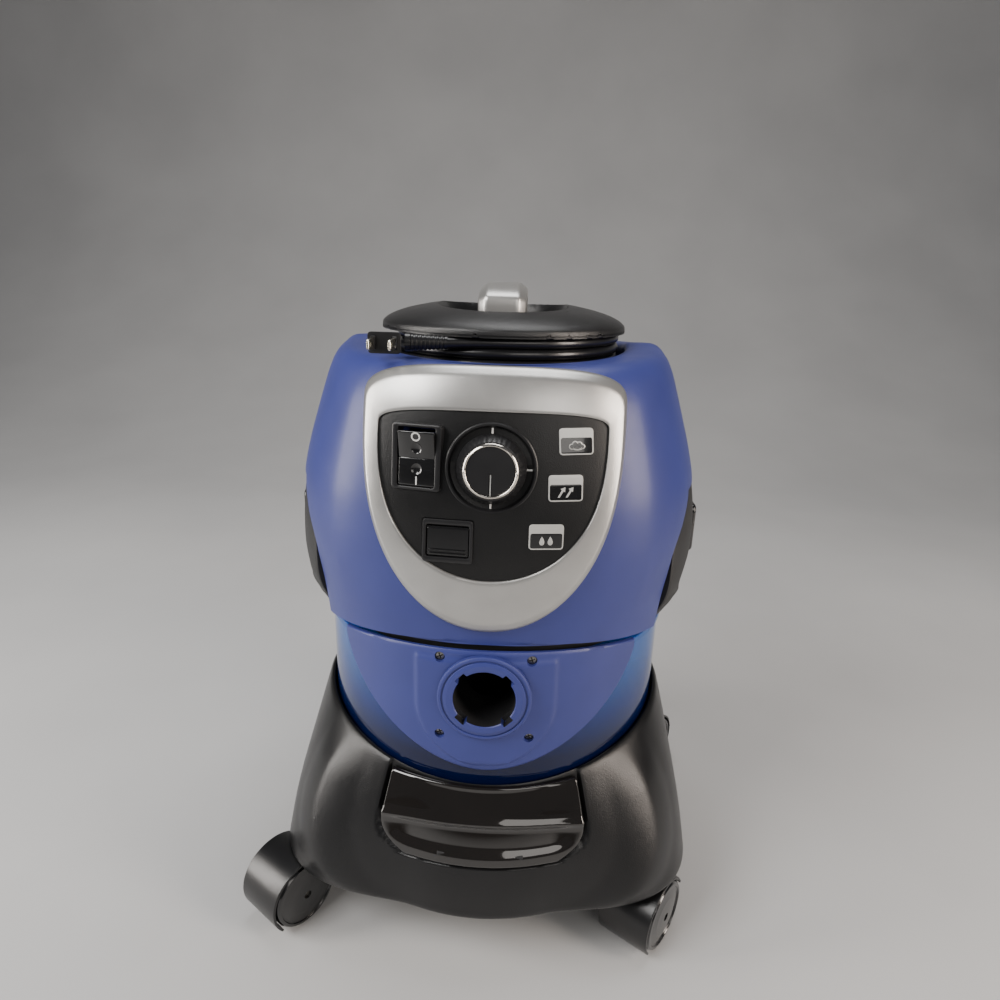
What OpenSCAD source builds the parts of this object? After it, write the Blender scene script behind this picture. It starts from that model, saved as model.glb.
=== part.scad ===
/* [Tank] */
// Outer radius of the water tank
tank_r = 129; // [126:0.5:130]
// Wall thickness of the water tank
tank_wall = 2.5; // [2:0.1:3.5]
// Height of the tank's rim above the floor
tank_top = 241; // [236:1:244]
// Height of the inlet's centre above the floor
inlet_z = 222; // [218:1:226]
// Inner radius of the inlet bore
inlet_r = 20; // [18:0.5:21]

/* [Head] */
// Squareness of the head's plan outline, 2 is an ellipse
head_power = 2.4; // [2.2:0.05:2.6]
// Wall thickness of the head
head_wall = 3; // [2.5:0.1:4]
// How far the panel frame stands proud of the head
frame_proud = 5; // [4:0.5:6]
// How far the control panel stands proud of the head
panel_proud = 3; // [2.5:0.1:3.5]

/* [Cord] */
// Diameter of the mains cord
cord_d = 6.8; // [6.4:0.1:6.8]
// Turns of cord in each layer of the winding
coil_turns = 4; // [3:1:4]
// Layers of cord in the winding
coil_layers = 4; // [3:1:4]

/* [Dolly] */
// Height of the skirt's lower edge above the floor
skirt_z = 57; // [57:0.5:60]
// How far the corners swell outward over the castors
corner_swell = 28; // [22:1:30]
// Distance of a castor's stem from the middle, across
stem_x = 135; // [130:1:137]
// Distance of a castor's stem from the middle, front to back
stem_y = 83; // [80:1:85]

/* [Castors] */
// Radius of a castor wheel
wheel_r = 26; // [24:0.5:26]
// Distance from the stem to the axle
trail = 24; // [22:0.5:26]
// Direction in which the front castors trail
trail_turn = 144; // [0:1:360]

/* [Hidden] */
$fn = 96;
gap = 0.3;
press = 0.02;
running = 0.06;
hull_fn = 32;

// ---------------------------------------------------------------- helpers
function flat(lists) = [for (l = lists) for (v = l) v];
function folded(phi) = abs(((phi + 540) % 360) - 180);

// Closed band: a list of closed sections, each joined to the next, the last to the first
module closed_band(sections) {
    n = len(sections);
    k = len(sections[0]);
    faces = [
        for (i = [0 : n - 1])
            for (j = [0 : k - 1])
                let (a = i * k + j, b = i * k + (j + 1) % k)
                let (c = ((i + 1) % n) * k + (j + 1) % k, d = ((i + 1) % n) * k + j)
                each [[a, d, c], [a, c, b]]
    ];
    polyhedron(flat(sections), faces, convexity = 8);
}

// Closed sleeve: a list of closed sections joined in order, with a flat cap on both ends
module capped_sleeve(sections) {
    n = len(sections);
    k = len(sections[0]);
    sides = [
        for (i = [0 : n - 2])
            for (j = [0 : k - 1])
                let (a = i * k + j, b = i * k + (j + 1) % k)
                let (c = (i + 1) * k + (j + 1) % k, d = (i + 1) * k + j)
                each [[a, d, c], [a, c, b]]
    ];
    ends = [[for (j = [0 : k - 1]) j], [for (j = [k - 1 : -1 : 0]) (n - 1) * k + j]];
    polyhedron(flat(sections), concat(sides, ends), convexity = 6);
}

// Curved plate between an outer and an inner grid of points with the same rows and columns
module grid_plate(outer, inner) {
    rows = len(outer);
    loop = function (r) concat(outer[r], [for (c = [len(inner[r]) - 1 : -1 : 0]) inner[r][c]]);
    n = len(outer[0]);
    k = 2 * n;
    sides = [
        for (i = [0 : rows - 2])
            for (j = [0 : k - 1])
                let (a = i * k + j, b = i * k + (j + 1) % k)
                let (c = (i + 1) * k + (j + 1) % k, d = (i + 1) * k + j)
                each [[a, d, c], [a, c, b]]
    ];
    low = [for (j = [0 : n - 2]) each [[j, j + 1, k - 1 - j], [j + 1, k - 2 - j, k - 1 - j]]];
    top = (rows - 1) * k;
    high = [for (f = low) [top + f[0], top + f[2], top + f[1]]];
    polyhedron(flat([for (r = [0 : rows - 1]) loop(r)]), concat(sides, low, high), convexity = 6);
}

// Round bar swept along points, with a ring across each point
module swept_bar(path, r, sides) {
    n = len(path);
    unit = function (v) v / norm(v);
    along = function (i) unit(path[min(i + 1, n - 1)] - path[max(i - 1, 0)]);
    rings = [
        for (i = [0 : n - 1])
            let (t = along(i), u = unit(cross(t, [0, 0, 1])), w = cross(u, t))
            [for (j = [0 : sides - 1]) path[i] + r * (cos(360 * j / sides) * u + sin(360 * j / sides) * w)]
    ];
    capped_sleeve(rings);
}

module rounded_box(size, r) {
    linear_extrude(size[2])
        offset(r)
            square([size[0] - 2 * r, size[1] - 2 * r], center = true);
}

// ---------------------------------------------------------------- dolly
well_r = 130.5;
well_wall = 2.5;
deck_z = 82;
flange_t = 3;
flange_r = 112;
skirt_wall = 3;
cavity_z = 130;
plate_t = 4;
pedal_low = 100;
pedal_inset = 4.8;
pedal_angle = 28;
pivot_y = -128;
pivot_z = 71;
arm_x = 26;
ring_front_z = 150;
ring_side_rise = 19;

function ring_z(phi) = ring_front_z + ring_side_rise * pow(cos(phi), 2);
function corner(phi) = let (d = abs(folded(2 * phi) / 2 - 38)) d < 36 ? 0.5 + 0.5 * cos(180 * d / 36) : 0;
function skirt_r(phi, z) =
    let (t = (ring_z(phi) - z) / (ring_z(phi) - skirt_z))
    134 + (17 + 4 * pow(sin(phi), 2)) * sin(90 * min(1, 1.2 * t)) + corner(phi) * corner_swell * t;
function pedal_half(z) = z > 122 ? pedal_angle : pedal_angle * (1 - 0.3 * pow((122 - z) / 22, 2.2));
function recess_half(z) = min(pedal_angle, pedal_half(max(z, pedal_low)) + 6) + 1;
function in_pedal(phi, z) = z > pedal_low - 2.3 && folded(phi + 90) < recess_half(z);
function body_r(phi, z) = in_pedal(phi, z)
    ? max(min(skirt_r(phi, z), skirt_r(-90, z)) - pedal_inset, 132.6)
    : skirt_r(phi, z);
function polar(r, phi, z) = [r * cos(phi), r * sin(phi), z];

skirt_angles = [
    for (a = [0 : 5 : 355])
        each (a == 295 ? [a, 298.9, 299.4] : a == 240 ? [240.6, 241.1] : a == 300 ? [301] : [a])
];
// Heights of the skirt's rows as shares of its height; below zero they are mm under the pedal's lower edge
skirt_steps = [0, 0.12, 0.24, 0.34, -2.6, -2, 0.5, 0.6, 0.7, 0.82, 0.9, 0.96, 1];
cavity_rows = [130, 115, 95, 94.4, 79, 57];
function skirt_row(phi, s) = s < 0 ? pedal_low + s : skirt_z + s * (ring_z(phi) - skirt_z);

function skirt_section(phi) = concat(
    [for (s = skirt_steps) let (z = skirt_row(phi, s)) polar(body_r(phi, z), phi, z)],
    [polar(well_r, phi, ring_z(phi)), polar(well_r, phi, deck_z + flange_t)],
    [polar(flange_r, phi, deck_z + flange_t), polar(flange_r, phi, deck_z)],
    [polar(well_r + well_wall, phi, deck_z), polar(well_r + well_wall, phi, cavity_z)],
    [
        for (row = cavity_rows)
            let (z = max(row, skirt_z))
            polar(max(body_r(phi, z + skirt_wall) - skirt_wall, well_r + well_wall + 1), phi, z)
    ]
);

module dolly_body() {
    color("#1c1c1d")
        difference() {
            closed_band([for (phi = skirt_angles) skirt_section(phi)]);
            for (side = [-1, 1])
                translate([side * arm_x - 4, -160, pedal_low - 0.5])
                    cube([8, 24, 11]);
        }
}

boss_r = 7;
boss_low = 60;
plate_r = 124;

module dolly_base_plate() {
    color("#232324")
        difference() {
            union() {
                translate([0, 0, deck_z - plate_t])
                    cylinder(r = plate_r, h = plate_t - 0.02);
                for (sx = [-1, 1], sy = [-1, 1]) {
                    translate([0, 0, deck_z - plate_t])
                        rotate([0, 0, atan2(sy * stem_y, sx * stem_x)])
                            translate([100, -12, 0])
                                cube([norm([stem_x, stem_y]) - 100, 24, plate_t - 0.02]);
                    translate([sx * stem_x, sy * stem_y, boss_low])
                        cylinder(r = boss_r, h = deck_z - boss_low - 0.02);
                }
                for (side = [-1, 1])
                    translate([side * (arm_x + 9) - 2, pivot_y - 5, pivot_z - 6])
                        cube([4, 22, deck_z - pivot_z + 5]);
            }
            for (sx = [-1, 1], sy = [-1, 1])
                translate([sx * stem_x, sy * stem_y, boss_low - 1])
                    cylinder(r = stem_r + running, h = 19);
            for (q = [0 : 3])
                rotate([0, 0, 45 + 90 * q])
                    translate([116, 0, deck_z - plate_t - 1])
                        cylinder(r = 2.2, h = plate_t + 2);
            translate([0, pivot_y, pivot_z])
                rotate([0, 90, 0])
                    cylinder(r = 2 + running, h = 100, center = true);
        }
}

module dolly_screws() {
    color("#9a9a98")
        for (q = [0 : 3])
            rotate([0, 0, 45 + 90 * q])
                translate([116, 0, deck_z - plate_t - 2.6]) {
                    cylinder(r = 4, h = 2.6);
                    cylinder(r = 2.1, h = plate_t + 4.5);
                }
}

pedal_rows = [0, 0.06, 0.14, 0.24, 0.36, 0.48, 0.6, 0.72, 0.84, 0.93, 1];

module release_pedal() {
    z_at = function (s) pedal_low + s * (ring_front_z + 0.6 - pedal_low);
    at = function (s, u) let (z = z_at(s)) -90 + u * pedal_half(z);
    outer = [for (s = pedal_rows) [for (u = [-1 : 0.125 : 1])
        polar(max(skirt_r(-90, z_at(s)) + 1.2, 136.2), at(s, u), z_at(s))]];
    inner = [for (s = pedal_rows) [for (u = [-1 : 0.125 : 1])
        polar(max(skirt_r(-90, z_at(s)) - 2.8, 133.6), at(s, u), z_at(s))]];
    color("#26201c") {
        grid_plate(outer, inner);
        for (side = [-1, 1])
            translate([side * arm_x, 0, 0])
                difference() {
                    union() {
                        translate([-3, -149.5, pedal_low + 2])
                            cube([6, 12.5, 6]);
                        translate([-3, -137.8, 72])
                            cube([6, 3.4, pedal_low - 64]);
                        hull() {
                            translate([-3, -137.8, 72])
                                cube([6, 3.4, 6]);
                            translate([0, pivot_y, pivot_z])
                                rotate([0, 90, 0])
                                    cylinder(r = 4.5, h = 6, center = true, $fn = hull_fn);
                        }
                    }
                    translate([0, pivot_y, pivot_z])
                        rotate([0, 90, 0])
                            cylinder(r = 2 + running, h = 10, center = true);
                }
    }
}

module pedal_pin() {
    color("#a8a8a6")
        translate([0, pivot_y, pivot_z])
            rotate([0, 90, 0])
                cylinder(r = 2, h = 2 * (arm_x + 12), center = true);
}

module pedal_spring() {
    turns = 5;
    color("#a8a8a6")
        swept_bar([
            for (i = [0 : 12 * turns])
                [-9 + 18 * i / (12 * turns), pivot_y + 3.6 * cos(30 * i), pivot_z + 3.6 * sin(30 * i)]
        ], 0.6, 6);
}

// ---------------------------------------------------------------- castors
stem_r = 4;
hood_r = 29;
hood_half = 20;
web_half = 4.7;
axle_r = 3;
hood_play = 1.3;

module castor_place(front, left) {
    turn = trail_turn + (front ? 0 : 180);
    translate([left ? -stem_x : stem_x, front ? -stem_y : stem_y, 0])
        rotate([0, 0, turn])
            children();
}

module across() {
    translate([0, trail, wheel_r])
        rotate([0, 90, 0])
            children();
}

module castor_hood() {
    color("#2b2b2c")
        difference() {
            union() {
                across()
                    cylinder(r = hood_r, h = 2 * hood_half, center = true);
                translate([0, 0, wheel_r + 6])
                    cylinder(r = 8, h = hood_r - 6);
            }
            for (side = [-1, 1])
                translate([side * (web_half + hood_half / 2), 0, 0])
                    across()
                        cylinder(r = wheel_r + hood_play, h = hood_half, center = true);
            translate([-hood_half - 1, trail - 60, -20])
                cube([2 * hood_half + 2, 100, 20 + 8]);
            translate([-hood_half - 1, trail, wheel_r])
                rotate([-38, 0, 0])
                    translate([0, -70, -60])
                        cube([2 * hood_half + 2, 70, 60 - 2 * axle_r]);
            across()
                cylinder(r = axle_r + running, h = 60, center = true);
            translate([0, 0, 36])
                cylinder(r = stem_r, h = 30);
        }
}

module castor_stem() {
    color("#8f9092") {
        translate([0, 0, 38])
            cylinder(r = stem_r, h = 40);
        translate([0, 0, hood_r + wheel_r + 0.1])
            cylinder(r = 6.4, h = 2.6);
    }
}

module castor_axle() {
    color("#8f9092")
        across()
            cylinder(r = axle_r, h = 2 * (hood_half - 1), center = true);
}

module castor_wheels() {
    color("#101010")
        across()
            for (side = [0, 1])
                rotate([180 * side, 0, 0])
                    rotate_extrude()
                        polygon([
                            [axle_r, web_half + 0.6], [wheel_r - 1.5, web_half + 0.6], [wheel_r, web_half + 2.1],
                            [wheel_r, hood_half - 1.5], [wheel_r - 2, hood_half + 0.6], [wheel_r - 4, hood_half + 0.6],
                            [wheel_r - 6, hood_half - 0.6], [8, hood_half + 1.2], [axle_r, hood_half + 1.4]
                        ]);
}

// ---------------------------------------------------------------- tank
tank_low = deck_z + flange_t + gap;
neck_r = 125.3;
neck_top = 249;
apron_t = 3.2;
apron_half = 57;
apron_low = 164;
pad_t = 2.2;
screw_x = 29.3;
screw_z = 28.2;

module water_tank() {
    rim = tank_r + 2;
    color("#1f4fa0", 0.75)
        difference() {
            rotate_extrude()
                polygon([
                    [0, tank_low], [tank_r - 12, tank_low], [tank_r - 4, tank_low + 3], [tank_r - 1.2, tank_low + 10],
                    [tank_r, tank_low + 40], [tank_r, tank_top - 5], [rim, tank_top - 5], [rim, tank_top],
                    [neck_r, tank_top], [neck_r, neck_top], [neck_r - tank_wall, neck_top],
                    [neck_r - tank_wall, tank_top - 1], [tank_r - tank_wall, tank_top - 5],
                    [tank_r - tank_wall, tank_low + 40],
                    [tank_r - tank_wall - 1.2, tank_low + 11], [tank_r - tank_wall - 5, tank_low + 5],
                    [tank_r - 14, tank_low + tank_wall], [0, tank_low + tank_wall]
                ]);
            translate([0, -tank_r - 10, inlet_z])
                rotate([-90, 0, 0])
                    cylinder(r = inlet_r + 3.3, h = 40);
        }
}

// Height of the groove between head and apron, lowest at the sides
function groove_z(phi) = 253 - 10 * pow(min(1, folded(phi + 90) / apron_half), 2);
function apron_edge(d) = apron_low + (groove_z(-90 + d) - 3.5 - apron_low)
    * (1 - pow(1 - pow(min(1, abs(d) / apron_half), 2.2), 0.687));

module apron_plate(r0, r1, half, low) {
    cols = [-1 : 0.05 : 1];
    rows = [0, 0.15, 0.3, 0.45, 0.6, 0.75, 0.9, 1];
    high = function (d) groove_z(-90 + d) - 3;
    pt = function (r, s, u) let (d = u * half) polar(r, -90 + d, low(d) + s * (high(d) - low(d)));
    grid_plate([for (s = rows) [for (u = cols) pt(r1, s, u)]], [for (s = rows) [for (u = cols) pt(r0, s, u)]]);
}

module tank_apron() {
    r0 = tank_r + 2.6;
    color("#5562a5")
        difference() {
            union() {
                apron_plate(r0, r0 + apron_t, apron_half, function (d) apron_edge(d));
                translate([0, -r0 - apron_t - pad_t, inlet_z])
                    rotate([-90, 0, 0])
                        cylinder(r = 38, h = 6);
            }
            translate([0, -r0 - 20, inlet_z])
                rotate([-90, 0, 0])
                    cylinder(r = inlet_r + 3.3, h = 60);
            translate([-60, -180, groove_z(-90) - 3])
                cube([120, 100, 30]);
            rotate_extrude()
                translate([0, inlet_z - 60])
                    square([r0 - 0.4, 120]);
            for (sx = [-1, 1], sz = [-1, 1])
                translate([sx * screw_x, -r0 - 30, inlet_z + sz * screw_z])
                    rotate([-90, 0, 0])
                        cylinder(r = 3.3, h = 60);
        }
}

collar_front = -139.5;
notch_w = 8;

module inlet_collar() {
    color("#5562a5")
        translate([0, collar_front, inlet_z])
            rotate([-90, 0, 0])
                difference() {
                    union() {
                        cylinder(r = 30, h = 2.2);
                        cylinder(r = inlet_r + 3, h = 24);
                    }
                    translate([0, 0, -1])
                        cylinder(r = inlet_r, h = 40);
                    rotate_extrude()
                        translate([26.5, -0.6])
                            square([1.4, 1.4]);
                    for (q = [0 : 3])
                        rotate([0, 0, 45 + 90 * q])
                            translate([0, -notch_w / 2, -1])
                                cube([inlet_r + 2.4, notch_w, 6]);
                }
}

module inlet_gasket() {
    color("#111111")
        translate([0, collar_front + 24 + press, inlet_z])
            rotate([-90, 0, 0])
                difference() {
                    cylinder(r = inlet_r + 3, h = 2.5);
                    translate([0, 0, -1])
                        cylinder(r = inlet_r + 0.6, h = 6);
                }
}

module inlet_tube() {
    color("#20242c")
        translate([0, collar_front + 26.5 + 2 * press, inlet_z])
            difference() {
                union() {
                    rotate([-90, 0, 0])
                        cylinder(r = inlet_r + 2.5, h = 30);
                    translate([0, 30, -40])
                        cylinder(r = inlet_r + 2.5, h = 40 + inlet_r * 0.4);
                }
                translate([0, -1, 0])
                    rotate([-90, 0, 0])
                        cylinder(r = inlet_r + 0.6, h = 31);
                translate([0, 30, -41])
                    cylinder(r = inlet_r + 0.6, h = 44);
            }
}

module inlet_screws() {
    color("#b9b7b0")
        for (sx = [-1, 1], sz = [-1, 1])
            translate([sx * screw_x, -132.5, inlet_z + sz * screw_z])
                rotate([-90, 0, 0])
                    difference() {
                        cylinder(r1 = 3.1, r2 = 2.6, h = 2.4);
                        for (a = [0, 90])
                            rotate([0, 0, a])
                                translate([-2, -0.4, -0.1])
                                    cube([4, 0.8, 1]);
                    }
}

module tank_seal() {
    color("#15171a")
        rotate_extrude()
            translate([neck_r - 1.25, neck_top + 1.2])
                square([2.4, 2.36], center = true);
}

// ---------------------------------------------------------------- head
head_low = 243;
head_rows = [
    [243, 131, 130.5], [258, 132.5, 131.5], [275, 135, 132.6], [292, 138.4, 133.5], [308, 141.2, 134],
    [322, 142.2, 133.9], [342, 141.2, 132.7], [343.5, 141.1, 132.6], [365, 136.6, 129.5], [385, 130.8, 125.4],
    [405, 124.8, 120], [417, 121, 115], [426, 117, 109.8], [431, 112.6, 105], [433.6, 107, 99.5], [434, 100, 94]
];
half_wide = [for (r = head_rows) [r[0], r[1]]];
half_deep = [for (r = head_rows) [r[0], r[2]]];
trough_r = 87.5;
trough_z = 412.6;
post_r = 52;
wing_half = 31.5;
wing_low = 247;
wing_high = 341;

function plan_r(phi, a, b) =
    pow(pow(abs(cos(phi)) / a, head_power) + pow(abs(sin(phi)) / b, head_power), -1 / head_power);
function side_angle(phi) = min(folded(phi), folded(phi + 180));
function wing_seat(z) = 131 + 7.5 * sin(90 * min(1, max(0, z - 247) / 45));
function head_r(phi, z, a, b) =
    side_angle(phi) < wing_half + 1.6 && z < 343
    ? min(plan_r(phi, a, b), wing_seat(z))
    : plan_r(phi, a, b);
function top_drop(phi, z) = 7 * pow(abs(sin(phi)), 0.7) * pow(max(0, z - 345) / 89, 2);
function head_z(phi, z) = z - top_drop(phi, z) + (groove_z(phi) - head_low) * max(0, 1 - (z - head_low) / 30);
function front_y(x, z) =
    let (a = lookup(z, half_wide), b = lookup(z, half_deep))
    -b * pow(max(0, 1 - pow(abs(x) / a, head_power)), 1 / head_power);

head_angles = [
    for (a = [0 : 5 : 355])
        each (side_angle(a) == 35 ? [] : side_angle(a) != 30 ? [a]
            : sin(a) * cos(a) > 0 ? [a, a + 2.9, a + 3.3] : [a - 3.3, a - 2.9, a])
];

function head_section(phi) = concat(
    [for (r = head_rows) polar(head_r(phi, r[0], r[1], r[2]), phi, head_z(phi, r[0]))],
    [
        polar(trough_r + 2, phi, 433 - top_drop(phi, 434)), polar(trough_r, phi, 431 - top_drop(phi, 434)),
        polar(trough_r, phi, trough_z + 2), polar(trough_r - 2, phi, trough_z),
        polar(post_r + gap, phi, trough_z), polar(post_r + gap, phi, trough_z - head_wall),
        polar(trough_r + 1, phi, trough_z - head_wall), polar(trough_r + head_wall, phi, trough_z),
        polar(trough_r + head_wall + 1, phi, 420)
    ],
    [
        for (i = [len(head_rows) - 2 : -1 : 0])
            let (r = head_rows[i], drop = i > 12 ? head_wall : 0)
            polar(head_r(phi, r[0], r[1], r[2]) - head_wall, phi, head_z(phi, r[0]) - drop)
    ]
);

module head_shell() {
    color("#5562a5")
        difference() {
            closed_band([for (phi = head_angles) head_section(phi)]);
            translate([-56, -180, 314])
                cube([112, 360, 82]);
            gland_shape(press);
        }
}

motor_r = 60;
plate_low = 252;

module motor_plate() {
    color("#2a2c30")
        rotate_extrude()
            polygon([
                [24, plate_low], [neck_r - 4, plate_low], [neck_r - 4, neck_top + 2.4],
                [neck_r + 0.4, neck_top + 2.4], [neck_r + 0.4, 246], [neck_r + 1.9, 246],
                [neck_r + 1.9, plate_low + 6], [neck_r, plate_low + 6], [neck_r, plate_low + 3],
                [motor_r + 4, plate_low + 3], [motor_r + 4, plate_low + 8], [motor_r + 0.1, plate_low + 8],
                [motor_r + 0.1, plate_low + 3], [24, plate_low + 3]
            ]);
}

// Outline of the front frame: an arched top and a long rounded bottom
function frame_outer(s) = sin(s) >= 0
    ? [79 * sign(cos(s)) * pow(abs(cos(s)), 0.66), 405 + 22 * pow(sin(s), 0.66)]
    : [79 * cos(s), 405 - 137 * pow(-sin(s), 0.77)];
function panel_outline(s, grow) = sin(s) >= 0
    ? [(68 + grow) * sign(cos(s)) * pow(abs(cos(s)), 0.66), 392 + (11 + grow) * pow(sin(s), 0.66)]
    : [(68 + grow) * cos(s), 392 - (89 + grow) * pow(-sin(s), 0.77)];
function on_head(p, out) = [p[0], front_y(p[0], p[1]) - out, p[1]];

module panel_frame() {
    color("#b9bcc0")
        closed_band([
            for (s = [0 : 5 : 355])
                let (o = frame_outer(s), i = panel_outline(s, gap))
                let (bevel = o + (i - o) * 0.16)
                [on_head(o, 0.3), on_head(o, 2.4), on_head(bevel, frame_proud), on_head(i, frame_proud - 0.6),
                    on_head(i, 0.3)]
        ]);
}

// Half width of the control panel at a height
function panel_half(z) = z > 392
    ? 68 * pow(1 - pow((z - 392) / 11, 3.03), 0.33)
    : 68 * sqrt(1 - pow((392 - z) / 89, 2.6));

dial_at = [0.5, 371];
rocker_at = [-42.5, 375.5];
flap_at = [-24, 327];
face_lean = 6;

// Places children on the front face, with +Z pointing outward and +Y up the face
module on_face(p, out) {
    slope = (front_y(p[0] + 1, p[1]) - front_y(p[0] - 1, p[1])) / 2;
    translate(on_head(p, out))
        rotate([90 - face_lean, 0, atan(slope)])
            children();
}

module control_panel() {
    rows = [304, 306, 310, 316, 324, 334, 346, 360, 374, 386, 393, 398, 401, 402.4];
    cols = [-1 : 0.1 : 1];
    pt = function (z, u, out) on_head([u * panel_half(z), z], out);
    color("#151515")
        difference() {
            union() {
                grid_plate([for (z = rows) [for (u = cols) pt(z, u, panel_proud)]],
                    [for (z = rows) [for (u = cols) pt(z, u, 0.4)]]);
                on_face(rocker_at, 0.6)
                    rounded_box([30, 38.5, 5.4], 2.5);
                on_face(flap_at, 0.6)
                    rounded_box([30, 26, 3.6], 2);
            }
            on_face(dial_at, 2.2) {
                translate([0, 0, -16])
                    cylinder(r = 4 + running, h = 32);
                translate([0, 0, -0.6])
                    cylinder(r = 25, h = 10);
            }
            on_face(rocker_at, 3)
                cube([23, 35, 24], center = true);
            on_face(flap_at, 1.2)
                cube([26.2, 19.4, 24], center = true);
        }
}

module dial_ring() {
    color("#d8dadc")
        on_face(dial_at, 2.2)
            rotate_extrude()
                polygon([[15.4, 8.4], [17.2, 8.4], [17.6, 8.9], [16.4, 9.8], [15.4, 9.4]]);
}

module mode_dial() {
    color("#121212")
        on_face(dial_at, 2.2)
            difference() {
                union() {
                    rotate_extrude()
                        polygon([
                            [0, 0], [20.5, 0], [20.5, 1.5], [18.4, 8.38], [15.38, 8.38], [15.38, 9.2], [0, 10.2]
                        ]);
                    translate([0, 0, -14])
                        cylinder(r = 4, h = 15);
                }
                translate([-0.9, -15, 7.8])
                    cube([1.8, 15, 4]);
            }
}

rocker_tilt = 6;

module rocker_key() {
    color("#101010")
        on_face(rocker_at, 3)
            rotate([rocker_tilt, 0, 0])
                rotate([0, 90, 0])
                    linear_extrude(22, center = true)
                        polygon([[-4.8, -16.6], [-3.4, 0], [-4.8, 16.6], [2, 15.4], [7, 0], [2, -15.4]]);
}

module socket_housing() {
    color("#1a1a1b")
        on_face(flap_at, 1.2)
            difference() {
                translate([0, 0, -11.2])
                    cube([26, 19.2, 20], center = true);
                translate([0, 0, -9.2])
                    cube([22, 15, 20], center = true);
            }
}

module socket_flap() {
    color("#181818")
        on_face(flap_at, 1.2)
            difference() {
                union() {
                    translate([0, 0, 1])
                        cube([25, 18, 2], center = true);
                    translate([0, 8, 0.6])
                        rotate([0, 90, 0])
                            cylinder(r = 1, h = 25.6, center = true);
                    for (y = [-7.6, -5.4])
                        translate([-11, y - 0.45, 2])
                            cube([22, 0.9, 0.8]);
                }
                translate([-13, 8.4, -1])
                    cube([26, 4, 1]);
            }
}

label_size = [21, 16];

module mode_labels() {
    color("#c9c9c6")
        for (p = [[49, 387.5], [44, 361], [34, 332]]) {
            pt = function (u, v, out)
                on_head([p[0] + u * label_size[0] / 2, p[1] + v * label_size[1] / 2], out);
            cols = [-1 : 0.25 : 1];
            grid_plate([for (v = [-1, 0, 1]) [for (u = cols) pt(u, v, panel_proud + 0.8)]],
                [for (v = [-1, 0, 1]) [for (u = cols) pt(u, v, panel_proud + 0.1)]]);
        }
}

// ---------------------------------------------------------------- motor
module motor_housing() {
    color("#8d9196")
        rotate_extrude()
            polygon([
                [motor_r, plate_low + 3.1], [motor_r, 366], [motor_r - 6, 372], [14, 372], [14, 369.5],
                [motor_r - 7, 369.5], [motor_r - 2.5, 365], [motor_r - 2.5, 290], [motor_r - 16, 288],
                [motor_r - 16, 285.5], [motor_r - 2.5, 285.5], [motor_r - 2.5, plate_low + 3.1]
            ]);
}

module motor_core() {
    color("#6d4a30")
        rotate_extrude()
            polygon([[28, 300], [45, 300], [45, 350], [28, 350]]);
    color("#6d4a30")
        for (q = [0 : 3])
            rotate([0, 0, 90 * q])
                translate([44.9, -3, 310])
                    cube([motor_r - 2.5 - 45 + 0.1, 6, 30]);
}

bearing_z = [288.2, 364];

module motor_bearings() {
    color("#bcc0c4")
        for (z = bearing_z)
            translate([0, 0, z])
                rotate_extrude()
                    polygon([[6 + running, 0], [13.98, 0], [13.98, 8], [6 + running, 8]]);
    color("#8d9196")
        translate([0, 0, bearing_z[0]])
            rotate_extrude()
                polygon([[13.9, -0.2], [46, -0.2], [46, 2], [13.9, 2]]);
}

module motor_shaft() {
    color("#c8ccd0") {
        translate([0, 0, 178])
            cylinder(r = 6, h = 194);
        translate([0, 0, 302])
            cylinder(r = 26, h = 46);
    }
}

module fan_impeller() {
    color("#b0b3b6")
        difference() {
            union() {
                translate([0, 0, 256])
                    cylinder(r = 54, h = 2);
                translate([0, 0, 258])
                    cylinder(r = 11, h = 20);
                for (q = [0 : 8])
                    rotate([0, 0, 40 * q])
                        translate([10, -1, 258])
                            cube([42, 2, 16]);
            }
            translate([0, 0, 250])
                cylinder(r = 6, h = 40);
        }
}

module separator() {
    color("#30343a")
        difference() {
            rotate_extrude()
                polygon([
                    [6, 180], [30, 180], [44, 240], [41.5, 240], [28, 183], [12, 183], [12, 232], [6, 232]
                ]);
            for (q = [0 : 11])
                rotate([0, 0, 30 * q])
                    translate([20, -1.5, 190])
                        cube([40, 3, 40]);
        }
}

module hepa_filter() {
    color("#e8e6df")
        translate([-45, 88, 320])
            cube([90, 26, 74]);
}

module filter_cover() {
    rows = [312, 320, 340, 360, 380, 396, 403];
    cols = [-1 : 0.2 : 1];
    pt = function (z, u, out) [62 * u, -front_y(62 * u, z) + out, z];
    color("#1d1d1e")
        difference() {
            mirror([0, 1, 0])
                grid_plate([for (z = rows) [for (u = cols) let (p = pt(z, u, 4)) [p[0], -p[1], p[2]]]],
                    [for (z = rows) [for (u = cols) let (p = pt(z, u, 0.3)) [p[0], -p[1], p[2]]]]);
            for (i = [0 : 7])
                translate([-44, 80, 324 + 9 * i])
                    cube([88, 80, 4]);
        }
}

// ---------------------------------------------------------------- cord post, cap and handle
cap_r = 86.5;
cap_low = 441;

module cord_post() {
    color("#1b1b1c")
        rotate_extrude()
            polygon([
                [post_r, trough_z - head_wall - gap], [post_r, 442.9], [0, 442.9], [0, 439.9],
                [post_r - 3, 439.9], [post_r - 3, trough_z - 10], [60, trough_z - 10],
                [60, trough_z - head_wall - gap]
            ]);
}

module cap_dome() {
    color("#2c2c2d")
        difference() {
            rotate_extrude()
                polygon([
                    [0, 443], [84.6, 443], [84.6, cap_low], [cap_r, cap_low], [cap_r, 443.6], [85.6, 446],
                    [81, 449.4], [72, 453], [60, 456], [46, 458.4], [30, 459.6], [0, 460]
                ]);
            hull() {
                for (side = [-1, 1])
                    translate([0, side * 18, 446])
                        cylinder(r1 = 40, r2 = 46, h = 16, $fn = hull_fn);
            }
        }
}

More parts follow.
